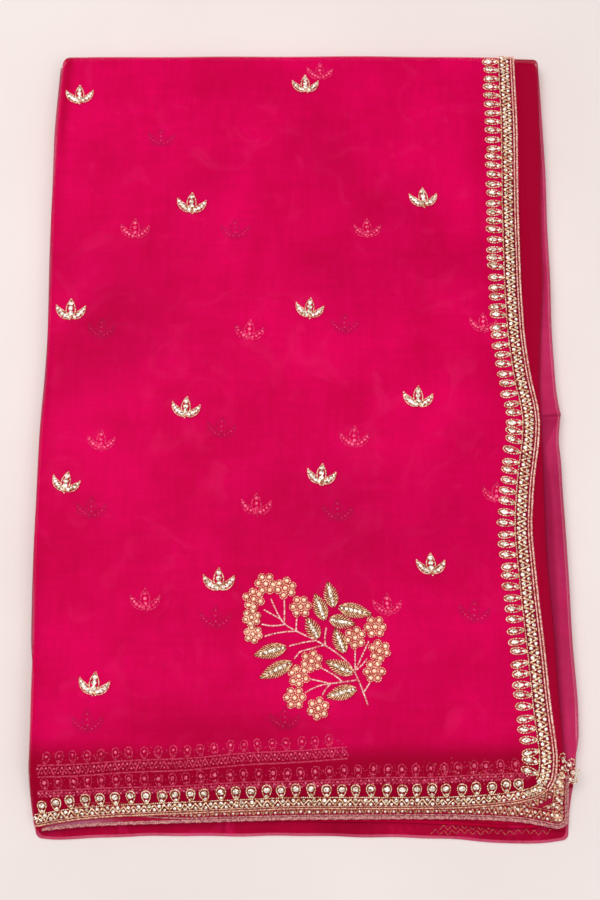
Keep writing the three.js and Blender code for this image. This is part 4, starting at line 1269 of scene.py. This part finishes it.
class Borders(SubAssembly):
    """The laces: on the saree's end, on its hem, on the stretch below, and those seen through the net."""

    LOW = ("blush", "low_stone", "pink_cord")  # beadwork in the shade of the top stretch

    def build(self) -> None:
        """Builds every lace."""
        line = top_line()
        corner = int(np.argmax(line[:, 0] > END_X))
        end, hem = Beadwork(), Beadwork()
        Lace(line[corner:], 7.2, 6.2, ((0.7, 0.55), (2.7, 0.42)), (4.0, 11.0), 12.0, (12.4, 11.8, 5.2),
             (1.5, 1.3), 0.2, MARQUISE, 5, lambda at: at[:, 1] > -242.5).sew(end)
        end.piece("end_lace", "end_border", "end_lace", self.chosen("gold", "stone", "rose", "ground"))
        Lace(line[:corner], 9.9, 6.8, ((1.5, 0.44), (2.9, 0.3)), (3.4, 8.1), 8.8, (9.0, 8.6, 6.2),
             (1.4, 1.2), 0.36, STONE, 6, lambda at: at[:, 0] < 146.0, ground=1.2).sew(hem)
        hem.piece("hem_lace", "hem_border", "hem_lace", self.chosen("gold", "stone", "rope", "ground"))
        self.second()
        self.bunch()
        self.loose_zigzags()
        self.seen_through()
        self.seed_beads()

    def second(self) -> None:
        """Builds the strip in front of the top hem, its edge, and the lace that comes out from under it."""
        x = np.linspace(-170, 176.6, 260)
        share = np.linspace(0, 1, 13)[:, None]
        high = top_hem(np.minimum(x, HEM_STOP_X)) + 2.0 + 12.6 * ease(x, 148, 164)
        low = loop_hem(x)
        y = low + (high - low) * share
        points = stacked(x, y, loop_face(x, y) + 0.2 * np.sin(share * math.pi)).reshape(-1, 3)
        work = Beadwork(loop_face)
        work.surface(points, grid_faces(*y.shape), Slot.EXTRA)
        line = np.concatenate([np.linspace(-172, LOOP_X, 500), corner_sweep(LOOP_X, 9.6, 1.45, 20)])
        edge = np.vstack([stacked(line, loop_hem(line) + 0.4), stacked(176.3, np.linspace(-262, -238, 40))])
        path = rounded(along_path(edge, 1.0)[0], mode="edge")
        places, heading = along_path(path, 1.0)
        wave = 0.16 * np.sin(np.arange(len(places)) * 0.9)
        for out, thick in ((0.0, 0.45), (0.9, 0.34)):
            shifted = places + (out + wave)[:, None] * leftward(heading)
            work.sew(BUGLE, shifted, (0.9, thick, thick), heading + 0.5, 0.3, Slot.THREAD)
        fan = np.array([(138.0, -262.6), (156.0, -259.5), (174.5, -249.0)])
        Lace(read_path(fan, np.arange(3), np.linspace(0, 2, 80)), 9.9, 6.2, (), (0.6, 6.4), 7.4,
             (7.0, 6.0, 5.0), (1.3, 1.1), 0.3, STONE, 13, no_drops).sew(work)
        band = path[path[:, 0] > -150]
        band = band + 4.5 * np.outer(1 - ease(band[:, 0], -140, -70), [0, 1])
        Lace(band, 9.9, 5.6, ((2.2, 0.4),), (3.2, 9.2), 10.2, (10.6, 6.0, 5.0), (1.35, 1.1),
             0.3, STONE, 12, no_drops).sew(work)
        corner = np.array([
            (163.0, -259.6), (166.6, -258.0), (170.2, -255.4), (168.6, -260.2), (171.8, -251.0)])
        work.sew(STONE, corner, (1.35, 1.2, 0.9), 0.6, 0.8, Slot.STONE)
        for sideways in (-1.9, 1.9):
            work.sew(BUGLE, corner + (sideways, 0.4), (1.7, 0.3, 0.34), 1.0 + 0.3 * sideways, 0.5, Slot.METAL)
        # painted shade: the lace's back turns from dusty rose to crimson towards the right
        shade = np.ones(work.count)
        shade[:len(points)] = 0.1 + 0.9 * ease(points[:, 0], -150, -112)
        work.piece("second_lace", "second_border", "second_lace", self.chosen(*self.LOW, "lining"), shade)

    def bunch(self) -> None:
        """Sews the gathered end of the lower lace, beside the free corner: four drops and loose beads."""
        work = Beadwork(bunch_face, 0.2)
        rng = np.random.default_rng(14)
        ring = np.arange(14) * 2 * math.pi / 14
        for degrees, reach in ((84, 13.5), (46, 13.0), (12, 12.5), (-22, 11.5)):
            turn = math.radians(degrees)
            way = towards(turn)
            middle = np.array([170.8, -239.0]) + way * reach * 0.56
            out, draw = 0.48 * reach * np.cos(ring), 2.2 * np.sin(ring) * (1 + 0.3 * np.cos(ring))
            at = middle + np.outer(out, way) + np.outer(draw, leftward(turn))
            work.sew(BEAD, at, (0.9, 0.5, 0.5), turn + ring + math.pi / 2, 0.5, Slot.METAL)
            work.sew(STONE, middle + way * 0.16 * reach, (2.1, 1.7, 1.0), turn, 0.8, Slot.STONE)
            work.sew(STONE, middle - way * 0.2 * reach, (1.5, 1.2, 0.9), turn, 0.8, Slot.STONE)
        spread = rng.uniform(-1, 1, (26, 2)) * (3.6, 4.5) + (169.0, -242.0)
        size = rng.uniform(0.6, 1.3, 26)
        sizes = flattened(size)
        work.sew(STONE, spread[:12], sizes[:12], 0.4, 0.8, Slot.STONE)
        work.sew(BEAD, spread[12:], sizes[12:], 0.0, 0.8, Slot.METAL)
        work.piece("bead_bunch", None, "second_lace", self.chosen("gold", "low_stone", "rose"))

    def loose_zigzags(self) -> None:
        """Sews the loose zigzags on the lowest hem, each a sum of two sines along X."""
        work = Beadwork(level_face(BASE_TOP), 0.1)
        for start, stop, at_y in ((86, 166, -276.4), (92, 128, -273.2)):
            line = np.linspace(start, stop, 90)
            waves = stacked(line, at_y + 1.3 * np.sin(line * 1.15) + 0.5 * np.sin(line * 0.31))
            places, heading = along_path(waves, 1.1)
            work.sew(BUGLE, places, (0.7, 0.19, 0.18), heading, 0.25, Slot.METAL)
        work.piece("loose_zigzags", None, "hem_lace", self.chosen("stitch", "stitch", "stitch"))

    def seen_through(self) -> None:
        """Sews the laces of lower layers that show through the top net, and glitter along their lines."""
        work = Beadwork(under_face, 0.1)

        def lower_line(end: float, count: int, y: float, climb: float, waves: tuple[float, float]) -> Array:
            """Gives a line that climbs evenly from the left and wavers by a product of sines.

            Args:
                end: X where it ends.
                count: How many places it has.
                y: Y where it starts.
                climb: How much it climbs, as a share of the way along X.
                waves: The lengths of the two sines.

            Returns:
                Rows of X and Y.
            """
            x = np.linspace(SEEN_FROM, end, count)
            waver = 0.7 * np.sin(x / waves[0]) * np.sin(x / waves[1])
            return stacked(x, y + (x - SEEN_FROM) * climb + waver)

        Lace(lower_line(30, 200, -241.0, 0.058, (17.0, 41.0)), 9.4, 5.4, ((0.6, 0.42), (7.9, 0.4)),
             (1.8, 7.2), 8.0, (8.8, 7.8, 5.0), (0.8, 0.6), 0.3, STONE, 8,
             lambda at: at[:, 0] < 24, 0.5).sew(work)
        Lace(lower_line(150, 300, -254.0, 0.035, (21.0, 37.0)), 9.4, 5.2, ((5.4, 0.42),), (1.0, 4.8),
             5.4, (5.8, 8.6, 5.2), (0.9, 0.8), 0.3, STONE, 9, lambda at: at[:, 0] < 142, 0.68).sew(work)
        rng = np.random.default_rng(18)
        count = 900
        across = rng.uniform(-172, 146, count)
        rise = rng.choice([-246.5, -243.5, -229.0], count) + rng.normal(0, 1.6, count)
        climb = 0.04 * (across - SEEN_FROM)
        rise += climb + np.where(rise > -236, 0.018 * (across - SEEN_FROM), 0.0)
        kept = (rise < -237 + climb) | (across < 28)
        size = rng.uniform(0.2, 0.5, count)[kept]
        work.sew(BEAD, stacked(across, rise)[kept], flattened(size), 0.0, 0.5, Slot.METAL)
        work.piece("lace_under_net", None, "hem_lace",
                   self.chosen("far_gold", "far_stone", "far_cord", "ground"))

    def seed_beads(self) -> None:
        """Sews a scatter of seed beads under the net near the free corner."""
        work = Beadwork(under_face, 0.1)
        rng = np.random.default_rng(17)
        at = rng.normal(0, 1, (90, 2)) * (15, 3.5) + (118, -238)
        size = rng.uniform(0.3, 0.75, 90)
        work.sew(BEAD, at, flattened(size), 0.0, 0.4, Slot.METAL)
        work.piece("seed_beads_under_net", None, "hem_lace", self.chosen(*self.LOW))


@dataclass(frozen=True)
class Petal:
    """One petal of a small motif: its heading in degrees at foot and tip, length, width and stones."""

    start: float
    end: float
    length: float
    width: float
    stones: int

    def spine(self, foot: Array, lean: float, size: float, count: int) -> tuple[Array, Array]:
        """Gives places along the petal's middle line, and the headings there.

        The heading changes evenly from foot to tip, and the places add up the steps along it.

        Args:
            foot: X and Y of the petal's foot.
            lean: The motif's turn in radians.
            size: The motif's scale.
            count: How many places.

        Returns:
            The places and the headings in radians.
        """
        heading = np.radians(np.linspace(self.start, self.end, count)) + lean
        steps = towards(heading) * self.length * size / (count - 1)
        walked = np.vstack([np.zeros((1, 2)), np.cumsum((steps[1:] + steps[:-1]) / 2, axis=0)])
        return foot + walked, heading


MOTIF_PETALS = (Petal(98, 84, 13.0, 6.2, 3), Petal(168, 110, 14.0, 4.6, 5), Petal(10, 68, 12.5, 4.4, 4))
# The field's motifs: x, y of the centre and turn in degrees.
TOP_MOTIFS = (
    (-166, 252, 0), (3, 260, 0), (-80, 163, 0), (89, 168, 0), (-165, 82, 0), (6, 83, 0), (-81, 10, 0),
    (82, 17, 0), (-163, -43, -12), (14, -38, 0), (-56, -111, 0), (88, -100, 0), (-138, -180, 0),
)
SECOND_MOTIFS = (
    (14, 272, 0), (-121, 144, 0), (48, 145, 0), (-37, 67, 0), (130, 73, 0), (-140, -13, 0),
    (37, -11, 0), (-31, -59, 0), (135, -50, 0), (-106, -124, 0), (58, -127, 0),
)
THIRD_MOTIFS = (
    (-104, 217, 0), (-48, 144, 0), (-143, 69, 0), (31, 72, 0), (-56, -4, 0), (-145, -61, 0),
    (25, -63, 0), (-58, -136, 0), (117, -132, 0), (-142, -204, 0), (-11, -202, 0),
)


class Motifs(SubAssembly):
    """The small three-petalled motifs, on the top net and below it."""

    def sew(self, work: Beadwork, x: float, y: float, turn: float, rng: np.random.Generator,
            bold: float = 1.0) -> None:
        """Sews one motif: a threaded outline round each petal and stones along its middle.

        A petal's outline stands at half its width times the sine of its length's share, to the power 0.8.

        Args:
            work: Where it goes.
            x: Its centre along X.
            y: Its centre along Y.
            turn: Its turn in degrees.
            rng: The random source.
            bold: Scale of its stones.
        """
        lean = math.radians(turn + rng.uniform(-5, 5))
        size = rng.uniform(0.94, 1.06)
        foot = np.array([x + 6 * math.sin(lean), y - 6 * math.cos(lean)])
        for petal in MOTIF_PETALS:
            spine, heading = petal.spine(foot, lean, size, 13)
            share = np.linspace(0, 1, 13)
            half = 0.5 * petal.width * size * np.clip(np.sin(math.pi * share**0.85), 0, 1) ** 0.8
            for sign in (-1, 1):
                at = spine + sign * half[:, None] * leftward(heading)
                way = np.gradient(at, axis=0)
                work.sew(BUGLE, at, (0.8, 0.38, 0.36), np.arctan2(way[:, 1], way[:, 0]), 0.4, Slot.THREAD)
            places = (np.arange(petal.stones) + 0.9) / (petal.stones + 0.75)
            at = read_path(spine, share, places)
            radius = 0.37 * bold * petal.width * size * np.sin(math.pi * places**0.85) ** 0.5
            radius = np.clip(radius * rng.uniform(0.9, 1.1, petal.stones), 0.85 * bold, 1.9 * bold)
            spin = rng.uniform(0, 3, petal.stones)
            work.sew(STONE, at, flattened(radius, 0.75), spin, 0.7, Slot.STONE)
        around = rng.uniform(0, 6, 4)
        cluster = foot + 1.3 * stacked(np.cos(around), np.sin(around) - 0.6)
        work.sew(BEAD, cluster, (0.6, 0.55, 0.5), 0.0, 0.5, Slot.METAL)

    def build(self) -> None:
        """Builds each top motif as a piece of its own, and each lower layer's motifs as one."""
        rng = np.random.default_rng(21)
        for k, (x, y, turn) in enumerate(TOP_MOTIFS, 1):
            work = Beadwork()
            self.sew(work, x, y, turn, rng)
            work.piece(f"motif_{k:02d}", f"butti_{k:02d}", "butti", self.chosen("gold", "stone", "ring"))
        for name, rows, lift, materials in (
            ("motifs_second_layer", SECOND_MOTIFS, 0.1, ("far_gold", "far_stone", "far_gold")),
            # the third layer's motifs are drawn in painted shade
            ("motifs_third_layer", THIRD_MOTIFS, -0.3, ("shadow_bead", "shadow_stone", "shadow_bead")),
        ):
            work = Beadwork(under_face, lift)
            for x, y, turn in rows:
                self.sew(work, x, y, turn, rng, 0.65)
            work.piece(name, None, "butti", self.chosen(*materials))


# The spray's stems, flowers and leaves.
MAIN_STEM = (
    (43.5, -193.5), (35.5, -171.5), (27.5, -163), (15.5, -154.5), (-4, -145.5), (-12, -141), (-16, -135),
    (-21.5, -123),
)
SIDE_STEMS = (
    ((-12, -141), (-12, -124.5)), ((-14, -137.5), (-26.3, -130.8)), ((-12, -141), (-26.5, -141)),
    ((-4, -145.5), (-25.5, -149)), ((-4, -145.5), (-3.5, -137)), ((8.5, -151.8), (-8.5, -155.3)),
    ((15.5, -154.5), (-1.5, -159), (-5, -163.5)), ((15.5, -154.5), (16.3, -143)),
    ((35.5, -171.5), (35.5, -157.5)), ((35.5, -171.5), (39.5, -163), (45, -151.5)),
    ((35.5, -171.5), (43.5, -163.5)), ((40.8, -186), (45, -179.5)), ((27, -178.8), (13, -170)),
    ((37.5, -177.5), (19, -180), (5, -176.8)), ((19, -180), (2, -186)), ((19, -180), (13.5, -187.5)),
)
# Flowers: x, y and radius.
FLOWERS = (
    (-24.5, -113.8, 6.4), (-11.4, -116.7, 6.4), (-32.8, -124.2, 6.4), (-1, -129.2, 6.4), (-34, -136.3, 5.4),
    (-32.9, -147.4, 5.4), (49.1, -142.6, 6.4), (35.5, -149.8, 6.4), (51.7, -158.4, 6.4), (48.1, -171.8, 6.4),
    (6.3, -165.2, 6.4), (-2.2, -175, 6.4), (-4.9, -189.1, 6.4), (10.6, -196, 6.4),
)
# Leaves: x and y of the base, heading in degrees, length.
LEAVES = (
    (21.2, -129.4, 103, 17), (15.2, -138.1, 110, 18.5), (24.6, -129.6, 348, 22.5), (18.3, -137.6, 349, 17.5),
    (10.7, -150.3, 119, 15.7), (28.3, -159.6, 112, 16.8), (34, -173.3, 156, 19.8), (-10.6, -156.1, 194, 21.9),
    (-6.7, -165.8, 206, 23.6), (36, -183.3, 195, 20.5),
)


class Spray(SubAssembly):
    """The corner spray: threaded stems, flowers of seven pearls, and feathered leaves."""

    def build(self) -> None:
        """Builds the stems, then each flower and leaf."""
        rng = np.random.default_rng(33)
        work = Beadwork()
        for line in (MAIN_STEM, *SIDE_STEMS):
            ends = np.array(line, float)
            share = np.linspace(0, len(ends) - 1, 60)
            path = self.curved(read_path(ends, np.arange(len(ends)), share),
                               rng.uniform(-0.08, 0.08) if len(ends) == 2 else 0.0)
            places, heading = along_path(path, 2.0, 0.5)
            work.sew(BUGLE, places, (0.95, 0.5, 0.46), heading + 0.15, 0.45, Slot.THREAD)
            places, heading = along_path(path, 5.2, 2.0)
            work.sew(BEAD, places, (0.95, 0.62, 0.6), heading, 0.5, Slot.THREAD)
        work.piece("stems", "spray_stems", "spray_stem", self.chosen("gold", "stone", "stem", "pearl"))
        for k, (x, y, radius) in enumerate(FLOWERS, 1):
            work = Beadwork()
            self.flower(work, (x, y), 0.35 * (k - 1), radius / FLOWER_R, rng)
            work.piece(f"flower_{k:02d}", f"spray_flower_{k:02d}", "spray_flower",
                       self.chosen("ring", "stone", "stem", "pearl"))
        for k, (x, y, heading, length) in enumerate(LEAVES, 1):
            work = Beadwork()
            self.leaf(work, (x, y), math.radians(heading), length)
            work.piece(f"leaf_{k:02d}", f"spray_leaf_{k:02d}", "spray_leaf",
                       self.chosen("barb", "stone", "barb_shade"))

    def curved(self, path: Array, bow: float) -> Array:
        """Rounds a stem's corners by averages of nine places, and bows it by a half sine of its length.

        Args:
            path: Its X and Y.
            bow: How far it bows, as a share of the way from end to end.

        Returns:
            Rows of X and Y.
        """
        chord = path[-1] - path[0]
        rise = bow * np.sin(np.linspace(0, math.pi, len(path)))[:, None]
        return rounded(path, 9, mode="reflect", reflect_type="odd") + rise * np.array([-chord[1], chord[0]])

    def flower(self, work: Beadwork, middle: tuple[float, float], turn: float, size: float,
               rng: np.random.Generator) -> None:
        """Sews seven pearls, six round one, each in a ring of seed beads.

        Args:
            work: Where it goes.
            middle: X and Y of its centre.
            turn: Its turn in radians.
            size: Its scale.
            rng: The random source.
        """
        around = turn + np.arange(6) * math.pi / 3 + rng.normal(0, 0.07, 6)
        centres = np.vstack([5.05 * size * towards(around), [[0.0, 0.0]]]) + middle
        work.sew(PEARL, centres, np.array([1.62, 1.62, 1.5]) * size, 0.0, 1.3, Slot.EXTRA)
        ring = np.arange(10) * 2 * math.pi / 10
        for centre in centres:
            at = centre + 2.4 * size * towards(ring)
            work.sew(BEAD, at, (0.74, 0.42, 0.44), ring + math.pi / 2, 0.5, Slot.METAL)

    def leaf(self, work: Beadwork, foot: tuple[float, float], heading: float, length: float) -> None:
        """Sews a feathered leaf: bugle barbs that slant forward on both sides of a row of stones.

        A barb runs from the middle line to the leaf's outline a fifth of its length ahead, and the outline's
        half width goes with the sine of the share along the leaf, to the power 0.8. Every other barb is
        longer and lies higher, and those between are in its shade.

        Args:
            work: Where it goes.
            foot: X and Y of its foot.
            heading: Its direction in radians.
            length: Its length.
        """
        ahead, aside = towards(heading), leftward(heading)
        count = 2 * round(length / 1.9)
        share = np.linspace(0.0, 0.82, count)
        raised = np.arange(count) % 2 == 0
        half = 4.0 * np.clip(np.sin(math.pi * (share + 0.18) ** 0.85), 0, 1) ** 0.8
        half = half * np.where(raised, 1.25, 0.8)
        for sign in (-1, 1):
            root = np.outer(share * length, ahead) + sign * 0.6 * aside
            tip = np.outer((share + 0.2) * length, ahead) + np.outer(sign * half, aside)
            way = tip - root
            sizes = stacked(np.linalg.norm(way, axis=1) / 2, 0.38, 0.42)
            turn = np.arctan2(way[:, 1], way[:, 0])
            middle = (root + tip) / 2 + foot
            work.sew(BUGLE, middle[raised], sizes[raised], turn[raised], 0.75, Slot.METAL)
            work.sew(BUGLE, middle[~raised], sizes[~raised] * (1, 1.25, 1), turn[~raised], 0.35, Slot.THREAD)
        places = (np.arange(6) + 0.7) / 7.2
        at = np.outer(places * length, ahead) + foot
        size = np.array([0.85, 1.1, 1.2, 1.2, 1.05, 0.8])
        work.sew(STONE, at, size[:, None] * (1.35, 1.15, 0.8), heading, 1.15, Slot.STONE)


# ------------------------------------------------------------------ room
class Room:
    """The plain floor, the light and the camera."""

    TILT = math.radians(12.0)  # of the line of sight from straight down
    DISTANCE = 772.0  # from the camera to the point it looks at, in mm
    AIM = (-1.4, -19.0, 12.0)  # that point, in plan millimetres
    LENS = 43.84  # mm, on a sensor 36 mm along the picture's long side
    FLOOR = 3000.0  # mm from the floor's middle to its sides
    SKY = 0.43  # strength of the light from all round

    def build(self) -> None:
        """Builds the floor, the lights, the world and the camera."""
        corners = self.FLOOR * np.array([(-1, -1, 0), (1, -1, 0), (1, 1, 0), (-1, 1, 0)])
        material, add, at = principled("pale_floor", Roughness=0.9, Specular_IOR_Level=0.2)
        mottle = add("TexNoise", Vector=at, Scale=6.0, Detail=4.0)
        blend = add("Mix", RGBA, Factor=mottle.outputs["Fac"], in_6=linear("#ece0dc"), in_7=linear("#f8efec"))
        feed(material, blend.outputs[2], "Base Color")
        floor = new_object("floor", corners, [np.array([[0, 1, 2, 3]])], [material], smooth=False)
        self.light("key", (-500, 350, 1500), 1100, 14.5)
        self.light("fill", (700, -500, 1300), 900, 5.5)
        world = bpy.data.worlds.new("studio")
        world.use_nodes = True
        sky = world.node_tree.nodes["Background"]
        sky.inputs["Color"].default_value = linear("#fbf8f6")
        sky.inputs["Strength"].default_value = self.SKY
        bpy.context.scene.world = world
        bpy.context.scene.view_settings.view_transform = "Standard"
        self.camera()

    def light(self, name: str, at: tuple[float, float, float], size: float, power: float) -> None:
        """Adds a square area light that faces the middle of the pile.

        Args:
            name: Its name.
            at: Where it stands, in millimetres of the shared frame.
            size: Its side in mm.
            power: Its power in watts.
        """
        data = bpy.data.lights.new(name, "AREA")
        data.size, data.energy = size * MM, power
        lamp = bpy.data.objects.new(name, data)
        lamp.location = tuple(value * MM for value in at)
        lamp.rotation_euler = (-lamp.location).to_track_quat("-Z", "Y").to_euler()
        bpy.context.scene.collection.objects.link(lamp)

    def camera(self) -> None:
        """Adds the camera, back from its aim along the tilted line of sight."""
        data = bpy.data.cameras.new("camera")
        data.lens, data.sensor_width = self.LENS, 36.0
        data.clip_start, data.clip_end = 0.05, 20.0
        obj = bpy.data.objects.new("camera", data)
        x = self.AIM[0] + CENTRING[0]
        y = self.AIM[1] + CENTRING[1] - self.DISTANCE * math.sin(self.TILT)
        z = self.AIM[2] + self.DISTANCE * math.cos(self.TILT)
        obj.location = (x * MM, y * MM, z * MM)
        obj.rotation_euler = (self.TILT, 0.0, 0.0)
        bpy.context.scene.collection.objects.link(obj)
        bpy.context.scene.camera = obj


def main() -> None:
    """Builds the room, the net and the sewn-on work."""
    logging.basicConfig(level=logging.INFO, format="%(name)s: %(message)s")
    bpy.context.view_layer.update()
    Room().build()
    finishes = {key: finish.material() for key, finish in FINISHES.items()}
    FoldedNet(finishes).build()
    Borders(finishes).build()
    Motifs(finishes).build()
    Spray(finishes).build()


if __name__ == "__main__":
    main()
